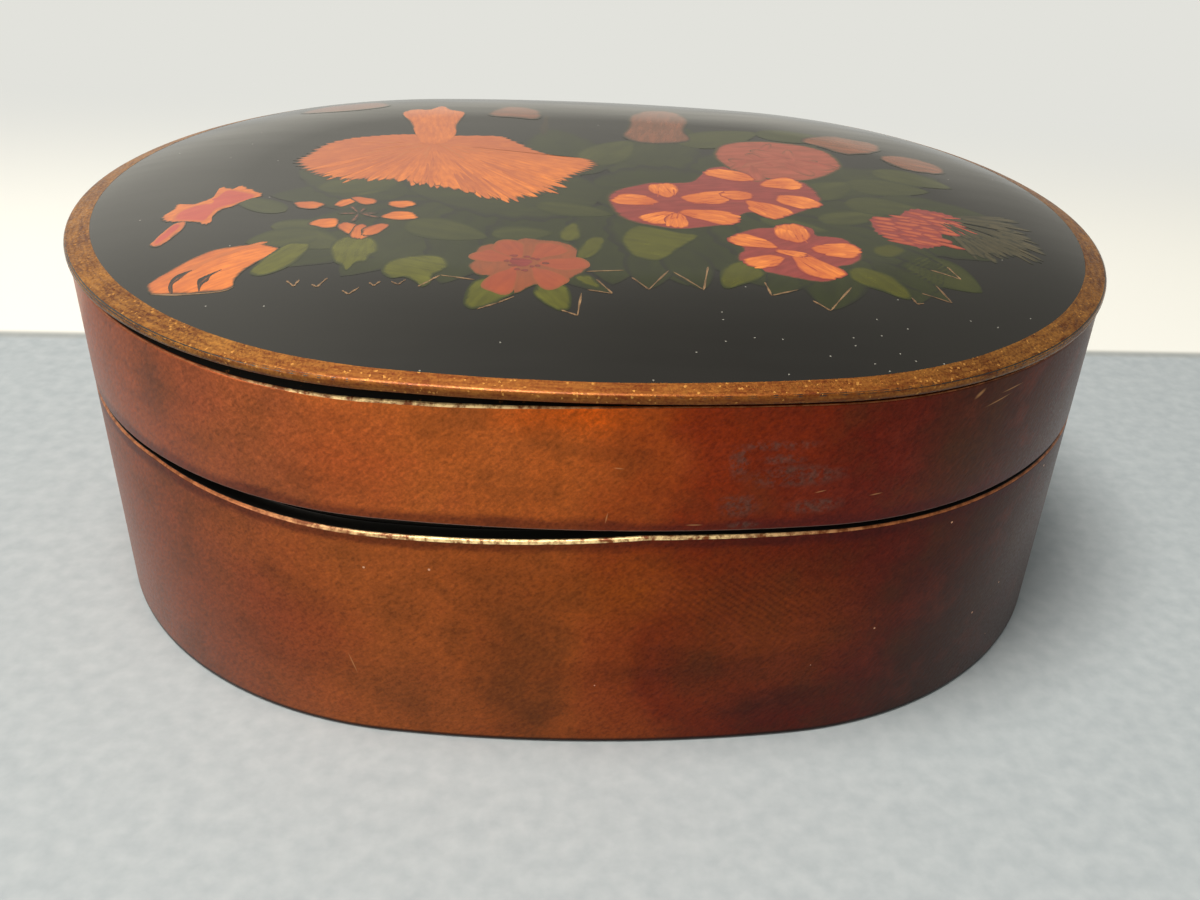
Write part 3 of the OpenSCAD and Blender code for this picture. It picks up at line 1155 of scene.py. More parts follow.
def patch(points, grain, coat, step, tone, middle=None, teeth=0, depth=0.0, joined=()):
    """Paint inside a smooth closed outline, which may be toothed.

    points are listed places in millimetres. grain is the strokes' heading, and
    without one they spread from the middle. At the points numbered in joined, the
    outline runs on into other paint and isn't ragged.
    """
    count = len(points)
    middle = middle or [sum(p[i] for p in points) / count for i in (0, 1)]

    def place(u, v):
        spot = (v + 1) / 2 * count
        i = min(int(spot), count - 1)
        x, y = curve_through(points[i - 1], points[i], points[(i + 1) % count],
                             points[(i + 2) % count], spot - i)
        reach = u * (1 - depth * zigzag(spot / count * teeth) * u ** 8)
        return on_lid(middle[0] + (x - middle[0]) * reach,
                      middle[1] + (y - middle[1]) * reach, coat, step)

    def dryness(u, v):
        spot = (v + 1) / 2 * count
        deep = (1 - u) * math.dist(points[round(spot) % count], middle)
        nearest = min((min(abs(spot - i), count - abs(spot - i)) for i in joined), default=9)
        return max(0.0, 1 - deep - max(0.0, 0.8 - nearest / 2))

    around = max(8 * count, 4 * teeth)
    reach = math.dist(points[0], points[count // 2]) / 2 * MM
    return lay_sheet(12, around, place, reach, 3 * reach, tone, grain, rim=dryness)


def petal(mark, coat, step, tone, narrow=0.35, jag=0.0, foot=1.0, dry=1.0):
    """An egg-shaped petal or stroke, uneven in outline and brightest at its tip.

    foot is how dry the brush is at its foot; 0 lets the stroke grow out of the paint
    under it. dry is how dry it is all round.
    """

    def place(u, v):
        angle = math.pi * v
        tip = max(0.0, math.cos(angle)) ** 2
        uneven = (1 - jag * zigzag(v * 7) * tip + 0.07 * math.sin(3 * angle + 2.4 * step)
                  + 0.04 * math.sin(5 * angle + step))
        along = mark.long / 2 * (1 + u * math.cos(angle) * uneven)
        swell = 1 - narrow * (1 - along / mark.long)
        across = mark.wide / 2 * u * math.sin(angle) * swell * uneven
        return on_lid(*turned(mark, along, across), coat, step)

    def glow(u, v):
        return min(1.0, max(0.0, tone + 0.3 * u * math.cos(math.pi * v)))

    def dryness(u, v):
        away = math.hypot(mark.long * math.cos(math.pi * v), mark.wide * math.sin(math.pi * v))
        return max(0.0, dry * (1 - (1 - u) * away / 2)
                   * (foot + (1 - foot) * max(0.0, math.cos(math.pi * v))))

    return lay_sheet(8, 36, place, MM, MM, glow, mark.heading, rim=dryness)


# How full a leaf is: the smaller, the rounder its foot and the blunter its tip
LEAF_POWER = 0.72


def leaf_shape(mark, coat, step, tone, teeth=0, depth=0.16):
    """A pointed leaf with a round foot, toothed or whole, one half lighter."""
    columns = max(16, teeth * 4)

    def place(u, v):
        half = mark.wide / 2 * math.sin(math.pi * u ** LEAF_POWER) ** LEAF_POWER
        if teeth:
            half *= 1 - depth * ((u * teeth) % 1)
        return on_lid(*turned(mark, mark.long * u, v * half), coat, step)

    def halves(u, v):
        return min(1.0, tone + (0.25 if v > 0 else 0))

    def dryness(u, v):
        return max(0.0, 1 - min((1 - abs(v)) * mark.wide / 2, (1 - u) * mark.long))

    return lay_sheet(columns, 8, place, MM, MM, halves, mark.heading, rim=dryness)


def line(points, wide, coat, step, tone, taper=0.25):
    """A thin stroke through a few points, tapered to both ends."""
    spans = len(points) - 1

    def place(u, v):
        spot = u * spans
        i = min(int(spot), spans - 1)
        before = points[i - 1] if i else points[i]
        after = points[i + 2] if i + 2 <= spans else points[i + 1]
        x, y = curve_through(before, points[i], points[i + 1], after, spot - i)
        ahead = curve_through(before, points[i], points[i + 1], after, spot - i + 0.01)
        away = math.hypot(ahead[0] - x, ahead[1] - y) or 1
        press = 0.75 + 0.25 * math.sin(9 * u + 2 * step)
        half = wide / 2 * min(1, min(u, 1 - u) / taper + 0.12) * v * press
        return on_lid(x - (ahead[1] - y) / away * half, y + (ahead[0] - x) / away * half,
                      coat, step)

    return lay_sheet(8 * spans, 2, place, 10 * MM, wide * MM, tone, rim=0.72)


def zigzag_line(points, wide, coat, first, tone):
    """Straight strokes joined at sharp corners."""
    return [
        line([a, b], wide, coat, first + i, tone, 0.12)
        for i, (a, b) in enumerate(zip(points, points[1:]))
    ]


def finish_paint(name, sheets, kind):
    """Joins sheets into one painted piece that faces upwards, in that kind of paint."""
    coat = join(sheets)
    enter_edit(coat)
    bpy.ops.mesh.select_mode(type="FACE")
    bpy.ops.mesh.select_all(action="DESELECT")
    leave_edit()
    for face in coat.data.polygons:
        face.select = face.normal.z < 0
    bpy.ops.object.mode_set(mode="EDIT")
    bpy.ops.mesh.flip_normals()
    bpy.ops.mesh.select_mode(type="VERT")
    leave_edit()
    thicken(coat, PAINT_DEPTH)
    dress(coat, "painted_" + name, "lid", [paint(kind)])


def paint(kind):
    """The paint of that kind, made when it is first asked for.

    A kind is its main, shade and light colours, the colour under it, the streaks'
    distance in millimetres, their contrast and how softly its rim ends.
    """
    c = colours()
    dark, olive = "#22241a", "#2b3016"
    kinds = {
        "orange": (c.orange, "#98482c", "#e8842e", dark, 0.6, 0.55, 0.7),
        "petal": ("#c0642a", "#a0412c", "#e88a38", c.crimson, 0.6, 0.5, 0.6),
        "vein": ("#9a4228", "#86382a", "#a84e2c", "#b85c2c", 0.6, 0.3, 0.5),
        "coral": ("#8a4428", "#6a3e2a", "#864e2e", olive, 0.9, 0.4, 0.6),
        "lobe": (c.coral, "#7e382a", "#984c2e", "#82482a", 0.9, 0.4, 0.7),
        "rose": ("#a2493a", "#8a3c30", "#b25e48", olive, 1.2, 0.4, 1.4),
        "faded": ("#9c5c44", "#7c4c3a", "#b06a4c", dark, 1.2, 0.5, 2.0),
        "crimson": (c.crimson, "#662624", "#94403a", olive, 0.9, 0.5, 0.7),
        "pink": ("#ac463a", "#983a34", "#c05c42", c.orange, 0.8, 0.4, 0.8),
        "stroke": ("#a44a2c", "#8c3a2a", "#b8603a", c.crimson, 0.6, 0.5, 0.8),
        "leaf": (c.leaf_green, "#34340c", "#5e5e1c", c.shade_green, 1.1, 0.5, 0.8),
        "dull": ("#373a18", "#2a2d13", "#44461f", c.shade_green, 1.4, 0.5, 1.2),
        "shade": (c.shade_green, "#1f2214", "#303418", "#1e1f17", 1.8, 0.5, 1.0),
        "outline": (c.outline, "#4a3626", "#a8845e", dark, 0.5, 0.9, 0.3),
        "feather": ("#46402a", "#302c1c", "#564c34", dark, 0.8, 0.6, 0.7),
        "dim": ("#ac5e30", "#9a5028", "#bc6c3a", c.orange, 1.0, 0.3, 0.8),
        "ground": (c.black, "#100f0d", "#26241f", c.orange, 1.0, 0.4, 0.3),
    }
    name = kind + "_tempera"
    return bpy.data.materials.get(name) or brushed_paint(name, *kinds[kind])


# Large toothed leaves that make the dark ground of the bouquet
SHADE_LEAVES = [
    Mark(-8, -4, 188, 42, 20), Mark(-10, -8, 205, 41, 18), Mark(-14, -8, 222, 40, 17),
    Mark(-18, -8, 240, 34, 17), Mark(-14, -8, 256, 32, 16), Mark(-4, -8, 250, 34, 17),
    Mark(2, -8, 268, 30, 15), Mark(6, -8, 280, 30, 16), Mark(14, -10, 286, 28, 16),
    Mark(18, -10, 300, 32, 16), Mark(20, -8, 316, 38, 18), Mark(22, -6, 334, 40, 18),
    Mark(24, -2, 352, 38, 18), Mark(22, 2, 12, 36, 18), Mark(14, 4, 40, 32, 16),
    Mark(4, 4, 66, 30, 16), Mark(-4, 4, 100, 24, 18), Mark(-2, -2, 0, 30, 26),
    Mark(0, -4, 180, 30, 26), Mark(30, -14, 322, 26, 14), Mark(-30, -8, 150, 20, 14),
]

# The green leaves' outlines in millimetres, each after the heading of its strokes
GREEN_LEAVES = [
    (52, [(-40.4, -28), (-41.7, -27.2), (-43.3, -27.4), (-45, -30.2), (-46.5, -33.4),
          (-47.1, -36), (-45.8, -36.9), (-44.3, -36.5), (-42.5, -35), (-41.1, -32.5)]),
    (265, [(-37.4, -30.5), (-37.7, -27.8), (-37.1, -25.6), (-35.6, -24.3), (-33.4, -24.1),
           (-31.5, -26.1), (-31, -29.3), (-31.8, -30.8), (-32.2, -32.9), (-33.5, -33.5),
           (-34.4, -35.8), (-35.3, -34.3), (-36.4, -33.3)]),
    (340, [(-29.9, -35.7), (-29.3, -32.6), (-27.4, -31), (-24.5, -30), (-22.3, -30.5),
           (-21, -33.3), (-21.9, -35.3), (-22.8, -36.5), (-23.1, -38.8), (-24.1, -39.9),
           (-25.2, -38.5), (-26.7, -37.4), (-28.5, -37.7)]),
    (245, [(-14, -36.6), (-16.9, -37.4), (-17.9, -38.9), (-18.4, -41.4), (-18.4, -43.9),
           (-17.4, -45), (-16.2, -44.7), (-14.7, -43.8), (-13.5, -42.6), (-12, -40.6)]),
    (300, [(-9.6, -40.6), (-8.4, -37.6), (-5.5, -38.2), (-4.6, -40.5), (-4.5, -43),
           (-4.8, -44.6), (-6, -45), (-7, -44.3), (-8.3, -43.1)]),
    (310, [(-4.2, -35.6), (-2.3, -35.1), (-1.1, -36.9), (-0.7, -38.9), (-2.1, -38.5),
           (-3.4, -37.6)]),
    (255, [(-6.5, -20.5), (-5.1, -17.1), (-3.9, -16.4), (-3.2, -19.1), (-3.4, -22.5),
           (-5.1, -23.6), (-6.2, -22.8)]),
    (60, [(-3.9, -29.4), (-3.4, -25.1), (-1.6, -21.6), (0.1, -21.8), (-0.1, -25.5),
          (-1.4, -28.5), (-2.8, -29.7)]),
    (345, [(2.5, -22.3), (3.5, -18.4), (5.2, -16.5), (7.9, -17.1), (11.3, -18.6), (14, -19.6),
           (12.2, -23), (10.6, -25.3), (9, -28), (7.2, -29.6), (5.3, -29), (3.7, -27.4)]),
    (240, [(15.8, -33.4), (16.5, -31.2), (18.2, -29.1), (19.9, -28.6), (21.6, -30.5),
           (22.3, -32.8), (20.6, -35.2), (18.6, -36.6), (16.5, -37.9), (15.7, -36.8)]),
    (310, [(34.3, -30.5), (36.1, -29.2), (38.3, -30.2), (40.3, -31.8), (41.3, -34),
           (42, -36.1), (41.8, -38.1), (40.2, -38), (38.2, -36.7), (36.2, -35.6),
           (34.7, -34.3), (34, -32.8)]),
    (350, [(40.1, -21.3), (42.7, -20.4), (44.4, -22.4), (43.3, -24.3), (41.3, -25.6),
           (39.4, -24.7), (39.2, -22.8)]),
]

# Duller leaves further back and round the flowers
DULL_LEAVES = [
    Mark(33, -12, 20, 12, 6), Mark(38.5, -4, 352, 12, 8), Mark(40, 5, 350, 14, 8),
    Mark(46, 12, 330, 14, 7), Mark(24, -12, 336, 11, 5), Mark(44, -26, 318, 12, 9),
    Mark(-47, -22, 12, 9, 5), Mark(-44, -24, 330, 9, 7), Mark(-34, 0, 250, 9, 7),
    Mark(-43, -6, 20, 13, 7), Mark(-2, 10, 60, 15, 9),
    Mark(14, 22, 30, 17, 9), Mark(28, 30, 350, 15, 7), Mark(-28.5, -18.5, 338, 13, 8),
    Mark(-10, -9.5, 345, 12, 6), Mark(-46, -16, 150, 10, 5),
    Mark(-40, -24, 200, 10, 7), Mark(32, -2, 40, 12, 8), Mark(-16, -22, 10, 9, 6),
]

# Outlines along the lower leaf tips, in millimetres
TIP_LINES = [
    [(3.6, -35.4), (5.8, -38.9), (8.8, -32.8)], [(9.4, -33.2), (13.2, -38.5), (14.4, -31)],
    [(21.8, -35.5), (22.3, -39.3), (26.2, -37.4)], [(27.8, -40.2), (29.9, -42.5), (33.8, -36)],
    [(41.9, -37.6), (42.4, -39.2), (43.4, -38.8)], [(43.6, -36.2), (47.6, -37.9), (46.2, -33.6)],
    [(46.5, -29), (50.5, -31), (49.3, -27.6)], [(-16.6, -45), (-14, -43.4), (-12, -41.8)],
    [(-5.8, -44.8), (-3.7, -45.9), (-3.2, -40.4)], [(-2.4, -39.5), (0.9, -40.3), (-1.2, -36.4)],
    [(-22, -36.5), (-17.3, -37.6)], [(-2.6, -34), (2.6, -33.2)],
    [(-41.8, -38.4), (-40.6, -39.8), (-40.2, -38.2)],
    [(-38.4, -39.4), (-37.6, -40.1), (-36.6, -37.8)],
    [(-34.2, -41), (-33.3, -41.9), (-32.1, -40.2)], [(-31, -39), (-30.3, -39.8), (-29.6, -38.6)],
    [(-28.2, -38.6), (-27.2, -39.4), (-26.4, -38)], [(-24.6, -39.8), (-23.4, -38.4), (-22, -36.5)],
]


def tip_leaf(points):
    """The leaf whose tip fills a two-stroke outline."""
    (ax, ay), (x, y), (bx, by) = points
    ahead_x, ahead_y = x - (ax + bx) / 2, y - (ay + by) / 2
    long, widest, deepest = 14, 12, 4
    # How fast a leaf narrows towards its tip
    slope = 2.26
    deep = min(math.hypot(ahead_x, ahead_y), deepest)
    wide = math.hypot(ax - bx, ay - by) / (slope * deep / long) ** LEAF_POWER
    heading = math.atan2(ahead_y, ahead_x)
    return Mark(x - long * math.cos(heading), y - long * math.sin(heading),
                math.degrees(heading), long, min(wide, widest))


class LACQUERBOX_OT_leaves(bpy.types.Operator):
    """Paint the bouquet's dark ground, the leaves and their outlines"""

    bl_idname = "lacquerbox.leaves"
    bl_label = "Leaves"
    bl_options = {"REGISTER", "UNDO"}

    def execute(self, context):
        draw = random.Random(31)
        deselect()
        shade = [
            leaf_shape(mark, "shade", i, draw.uniform(0, 0.8), teeth=7, depth=0.14)
            for i, mark in enumerate(SHADE_LEAVES)
        ]
        for points in TIP_LINES:
            if len(points) == 3 and points[1][0] > -1:
                mark = tip_leaf(points)
                shade.append(leaf_shape(mark, "shade", len(shade), draw.uniform(0, 0.5)))
        finish_paint("leaf_ground", shade, "shade")
        dull = [
            leaf_shape(mark, "leaf", i, draw.uniform(0, 0.6))
            for i, mark in enumerate(DULL_LEAVES)
        ]
        finish_paint("dull_leaves", dull, "dull")
        green = []
        first = len(dull) + 2
        for i, (heading, points) in enumerate(GREEN_LEAVES):
            tone = 0.5 - points[0][0] / 110 + draw.uniform(-0.15, 0.15)
            green.append(patch(points, heading, "leaf", first + i, tone))
        finish_paint("leaves", green, "leaf")
        lines = []
        for points in TIP_LINES:
            lines += zigzag_line(points, 0.32, "line", len(lines), draw.uniform(0, 1))
        finish_paint("leaf_outlines", lines, "outline")
        return {"FINISHED"}


# The large fringed flower
FRINGE_MIDDLE = (-28, 17.5)
FRINGED_FLOWER = [
    (-49, 5.4), (-47.8, 9), (-46.1, 14.2), (-42.6, 18), (-37.8, 20.2), (-32.6, 21.6),
    (-28, 21.4), (-24.8, 21.8), (-17.1, 22.6), (-14.2, 20.6), (-10.3, 15.9), (-6.6, 13.3),
    (-1.3, 12.3), (0.2, 9.7), (-1, 6.8), (-2.7, 4.6), (-5.2, 0.5), (-6.4, -2.3),
    (-8.6, -5.2), (-11, -7.2), (-14.3, -8.8), (-17, -7.8), (-20.2, -6), (-24.9, -4.1),
    (-28.1, -2.9), (-30.6, -1.9), (-33.7, -1.7), (-36.5, -1.8), (-39.4, -2.3),
    (-42.3, -1.5), (-44.6, -0.7), (-46.9, 1.6),
]
UPRIGHT_PETAL = [
    (-29.6, 17.5), (-31.4, 22), (-33, 28), (-35, 33.5), (-33.4, 36.6), (-30.4, 37), (-28.4, 40),
    (-26.4, 37.2), (-23.8, 35.4), (-24.6, 28), (-24.6, 22), (-26.4, 17.5),
]


class LACQUERBOX_OT_fringed_flower(bpy.types.Operator):
    """Paint the large flower, whose strokes spread from its middle"""

    bl_idname = "lacquerbox.fringed_flower"
    bl_label = "Fringed flower"
    bl_options = {"REGISTER", "UNDO"}

    def execute(self, context):
        draw = random.Random(41)
        x, y = FRINGE_MIDDLE
        count = len(FRINGED_FLOWER)
        deselect()

        # It is brightest at one point of its outline, in the middle of the lower edge
        brightest = 19
        lower_edge = FRINGED_FLOWER[16:]

        def glow(u, v):
            place = (v + 1) / 2 * count
            bright = max(0.0, math.cos((place - brightest) / count * 2 * math.pi))
            return min(1.0, 0.1 + 0.85 * bright * u)

        sheets = [
            patch(FRINGED_FLOWER, None, "disc", 0, glow, FRINGE_MIDDLE, teeth=96, depth=0.05,
                  joined=(5, 6, 7)),
            patch(UPRIGHT_PETAL, 94, "disc", 1, 0.35, joined=(0, 11)),
        ]
        for i in range(44):
            far_x, far_y = draw.choice(lower_edge)
            far_x, far_y = far_x + draw.uniform(-1.5, 1.5), far_y + draw.uniform(-0.6, 0.6)
            reach, heading = math.hypot(far_x - x, far_y - y), math.atan2(far_y - y, far_x - x)
            start = draw.uniform(0.3, 0.65) * reach
            mark = Mark(x + start * math.cos(heading), y + start * math.sin(heading),
                        math.degrees(heading) + draw.uniform(-3, 3), reach - start,
                        draw.uniform(0.8, 2.2))
            tone = draw.uniform(0.1, 0.7)
            sheets.append(petal(mark, "disc", 2 + i, tone, narrow=0.6, foot=0.1))
        finish_paint("fringed_flower", sheets, "orange")
        dark = []
        for i in range(26):
            heading = math.radians(draw.uniform(185, 355))
            start = draw.uniform(0, 5)
            mark = Mark(x + start * math.cos(heading) * 1.6, y + start * math.sin(heading),
                        math.degrees(heading), draw.uniform(3, 9), draw.uniform(0.5, 1))
            dark.append(petal(mark, "petal", i, 0.3, narrow=0.8, foot=0.5))
        finish_paint("fringed_middle", dark, "dim")
        return {"FINISHED"}


# The bud's orange edge, its pink core and its tail
BUD_EDGE = [
    (-50.3, -9.4), (-53.1, -6.7), (-54.4, -5.7), (-55.3, -7.1), (-57.3, -6.6), (-57.6, -10.6),
    (-59.3, -12.5), (-60.3, -13.3), (-62.4, -12.9), (-62.6, -14.7), (-63.6, -17.1),
    (-62.8, -18.8), (-60.9, -19.6), (-58.2, -19.9), (-56.4, -21.2), (-55.6, -20.4),
    (-55.8, -18.3), (-55, -15.8), (-53.5, -14.4), (-52.1, -11.7),
]
BUD_CORE = [
    (-51.4, -9.9), (-53.8, -8.3), (-55.9, -7.9), (-57, -10.8), (-57.2, -13), (-58.7, -13.5),
    (-60.2, -14.5), (-61.5, -16.5), (-61.3, -18.7), (-58.7, -19.5), (-56.9, -19.8),
    (-56.4, -17.9), (-55.9, -16), (-54.6, -14.2), (-53.2, -12.9),
]
BUD_TAIL = [
    (-59.4, -19.2), (-60.9, -19.8), (-61.9, -22.2), (-62.6, -24.5), (-62.9, -26), (-61.6, -26.8),
    (-60.7, -25.8), (-59.8, -24), (-59.1, -21.5),
]


class LACQUERBOX_OT_bud(bpy.types.Operator):
    """Paint the long pink bud, orange at its toothed edge, with its tail"""

    bl_idname = "lacquerbox.bud"
    bl_label = "Bud"
    bl_options = {"REGISTER", "UNDO"}

    def execute(self, context):
        deselect()
        edge = [
            patch(BUD_EDGE, 34, "disc", 0, 0.45, teeth=40, depth=0.05),
            patch(BUD_TAIL, 70, "disc", 1, 0.2),
        ]
        finish_paint("bud_edge", edge, "orange")
        core = [
            patch(BUD_CORE, 34, "petal", 0, 0.2),
            petal(Mark(-60, -19.6, 252, 6.8, 2), "petal", 1, 0.1, narrow=0.1),
            petal(Mark(-57.4, -11.8, 22, 5.6, 2.2), "petal", 2, 0.0, narrow=0.2, dry=0.4),
            petal(Mark(-60.6, -17.6, 30, 4.6, 1.8), "petal", 3, 0.0, narrow=0.2, dry=0.4),
        ]
        finish_paint("bud", core, "pink")
        return {"FINISHED"}


# The flower seen from the side, the slits that part it and its pale foot
HALF_FLOWER = [
    (-44.2, -29.7), (-46.1, -28.1), (-48.1, -27.8), (-52.3, -28.6), (-54.2, -29.5),
    (-57.9, -33.3), (-60.3, -36.2), (-60.2, -37.6), (-59.2, -38.9), (-55.1, -39.8),
    (-50.3, -40), (-48.6, -39.4), (-48.6, -37.6), (-47.9, -35.4), (-46.5, -33.1),
]
HALF_SLITS = [
    [(-56.5, -39.4), (-57.1, -37.3), (-56.4, -35.5), (-55, -34.2)],
    [(-52.9, -39.6), (-53.1, -37.8), (-52.5, -36.2), (-51, -34.7)],
]
HALF_FOOT = [(-59.4, -38.9), (-55.1, -39.9), (-50.2, -40.1), (-48.4, -39.2)]


class LACQUERBOX_OT_half_flower(bpy.types.Operator):
    """Paint the flower seen from the side, parted by two slits"""

    bl_idname = "lacquerbox.half_flower"
    bl_label = "Half flower"
    bl_options = {"REGISTER", "UNDO"}

    def execute(self, context):
        draw = random.Random(51)
        deselect()

        def glow(u, v):
            return 0.7 - 0.55 * u * max(0.0, math.cos(math.pi * (v + 0.3)))

        sheets = [patch(HALF_FLOWER, 32, "disc", 0, glow)]
        finish_paint("half_flower", sheets, "orange")
        blush = []
        for i in range(5):
            mark = Mark(-58.6 + 1.9 * i, -36.4 + 1.5 * i, 38 + draw.uniform(-8, 4), 5.6,
                        draw.uniform(0.9, 1.5))
            blush.append(petal(mark, "petal", i, draw.uniform(0, 0.5), narrow=0.5))
        finish_paint("half_flower_blush", blush, "dim")
        slits = [
            line(points, 1.9, "petal", 7 + i, 0.4, taper=0.7)
            for i, points in enumerate(HALF_SLITS)
        ]
        finish_paint("half_flower_slits", slits, "ground")
        finish_paint("half_flower_edge", [line(HALF_FOOT, 0.3, "petal", 9, 1.0)], "outline")
        return {"FINISHED"}


# Petals of the small open flower, about its pink middle
SMALL_PETALS = [
    Mark(-45.6, -12.8, 355, 4.8, 3.8), Mark(-39.4, -13.4, 57, 4.6, 2.8),
    Mark(-37.6, -9.2, 330, 4.8, 3.2), Mark(-32.2, -11.6, 8, 4.6, 3.8),
    Mark(-32.4, -16.3, 6, 5.6, 4.4), Mark(-41.9, -20.6, 20, 4.6, 4.6),
    Mark(-37.6, -19.2, 305, 6, 3.8), Mark(-34.6, -19.6, 274, 6.2, 3.4),
    Mark(-31.2, -19, 242, 5.8, 3.4),
]


class LACQUERBOX_OT_small_flower(bpy.types.Operator):
    """Paint the small open flower"""

    bl_idname = "lacquerbox.small_flower"
    bl_label = "Small flower"
    bl_options = {"REGISTER", "UNDO"}

    def execute(self, context):
        draw = random.Random(71)
        deselect()
        sheets = [
            petal(mark, "petal", i, draw.uniform(0.1, 0.7), narrow=0.25, jag=0.1)
            for i, mark in enumerate(SMALL_PETALS)
        ]
        finish_paint("small_flower", sheets, "orange")
        middle = []
        for i, heading in enumerate((5, 75, 120, 188, 262, 335)):
            mark = Mark(-35.6, -15.6, heading, draw.uniform(2.4, 4), 1.2)
            middle.append(petal(mark, "line", i, 0.2, narrow=0.5))
        finish_paint("small_middle", middle, "faded")
        return {"FINISHED"}


# The lobed flower's ground and its six lobes
CORAL_FLOWER = [
    (-18.6, -33.3), (-17.7, -30.3), (-17.9, -27.8), (-17, -25.9), (-12.7, -23.7), (-11.1, -22.7),
    (-8.5, -23.2), (-5.9, -23.7), (-4.2, -25.2), (-3.3, -27.4), (-2.4, -32.9), (-4.2, -36.1),
    (-6, -38.7), (-7.2, -39.3), (-8.7, -38.7), (-9.9, -39.1), (-11.5, -40.9), (-12.9, -41.1),
    (-15, -39.7), (-15.7, -36.5), (-17, -36.3), (-18, -35),
]
CORAL_LOBES = [
    Mark(-12, -31.2, 160, 6.6, 6.6), Mark(-11.8, -30.6, 110, 7, 7), Mark(-10, -30.6, 58, 7.2, 7),
    Mark(-9.6, -31.8, 2, 7.4, 7), Mark(-9.8, -33, 302, 7.2, 6.6), Mark(-12.2, -33, 252, 8.6, 6.4),
]


class LACQUERBOX_OT_coral_flower(bpy.types.Operator):
    """Paint the six-lobed flower, with dark dots round its middle"""

    bl_idname = "lacquerbox.coral_flower"
    bl_label = "Coral flower"
    bl_options = {"REGISTER", "UNDO"}

    def execute(self, context):
        draw = random.Random(81)
        x, y = -11.2, -31.6
        deselect()
        sheets = [patch(CORAL_FLOWER, 90, "disc", 0, 0.3)]
        finish_paint("coral_ground", sheets, "coral")
        lobes = [
            petal(mark, "petal", i, draw.uniform(0.1, 0.7), narrow=0.75)
            for i, mark in enumerate(CORAL_LOBES)
        ]
        finish_paint("coral_lobes", lobes, "lobe")
        dots = [petal(Mark(x - 1.8, y, 0, 3, 2.8), "line", 0, 0.2, narrow=0, dry=0.4)]
        for i in range(12):
            angle = 2 * math.pi * i / 12 + draw.uniform(-0.2, 0.2)
            away = draw.uniform(1.5, 2.9)
            mark = Mark(x + away * math.cos(angle), y + away * math.sin(angle), 0,
                        draw.uniform(0.6, 1.3), 0.9)
            dots.append(petal(mark, "line", i + 1, 0.2, dry=0.6))
        finish_paint("coral_middle", dots, "crimson")
        return {"FINISHED"}


# The round crimson flowers, two of them grown together, and the orange petals on each
TWIN_FLOWER = [
    (0.7, -6.1), (1.7, -2.5), (4.6, 0.2), (7.6, 2.1), (11.2, 2.5), (14.5, 3.6), (16.8, 7.7),
    (18.4, 10.7), (21.8, 11.8), (25.8, 10.7), (28.3, 9), (31.9, 6.5), (34.2, 3.9), (35.3, -1.5),
    (34.4, -5.1), (32.4, -7.5), (29.6, -9.9), (27.5, -11.6), (25.1, -10.7), (22.7, -9.7),
    (20.6, -12), (18.8, -15), (16, -16.2), (11.4, -17.6), (7.9, -16.8), (4.7, -15.6),
    (2.1, -12.6),
]
FRONT_FLOWER = [
    (18.6, -19.7), (20.3, -17.6), (22.9, -15.8), (26.1, -15.1), (26.8, -13.8), (29, -13.5),
    (31.6, -15), (32, -17.7), (34.7, -18.3), (36.3, -19.3), (37.4, -23), (37.3, -26),
    (35.5, -28.6), (33.2, -29.9), (32.4, -33.3), (30.1, -35), (26.3, -34.1), (21.6, -31.9),
    (18.9, -28.6), (19.1, -26.1), (19.9, -24.2),
]
ROUND_PETALS = [
    Mark(8.9, -6, 178, 7.6, 6.4), Mark(10.1, -4.4, 92, 6.8, 6.2), Mark(12.4, -5.2, 18, 9, 7),
    Mark(11.1, -10.6, 224, 6.8, 6), Mark(11.2, -10.6, 270, 6.6, 4.6),
    Mark(11.9, -9.9, 340, 10, 6.8), Mark(25.5, 5.4, 158, 9, 6.4), Mark(25.8, 3, 14, 7.6, 7),
    Mark(27.4, -2.3, 334, 7.8, 7), Mark(22.9, -4.6, 310, 8.8, 7), Mark(24.4, -2, 184, 5.6, 5.6),
    Mark(25.2, -23, 154, 7.8, 5.8), Mark(28.2, -21.4, 90, 7.8, 7.2),
    Mark(30.1, -23.6, 2, 7.8, 6.8), Mark(25.8, -26.8, 206, 6.8, 5.4),
    Mark(27.2, -25.8, 303, 9.8, 6.8), Mark(24.6, -24.2, 338, 5, 2.8),
]


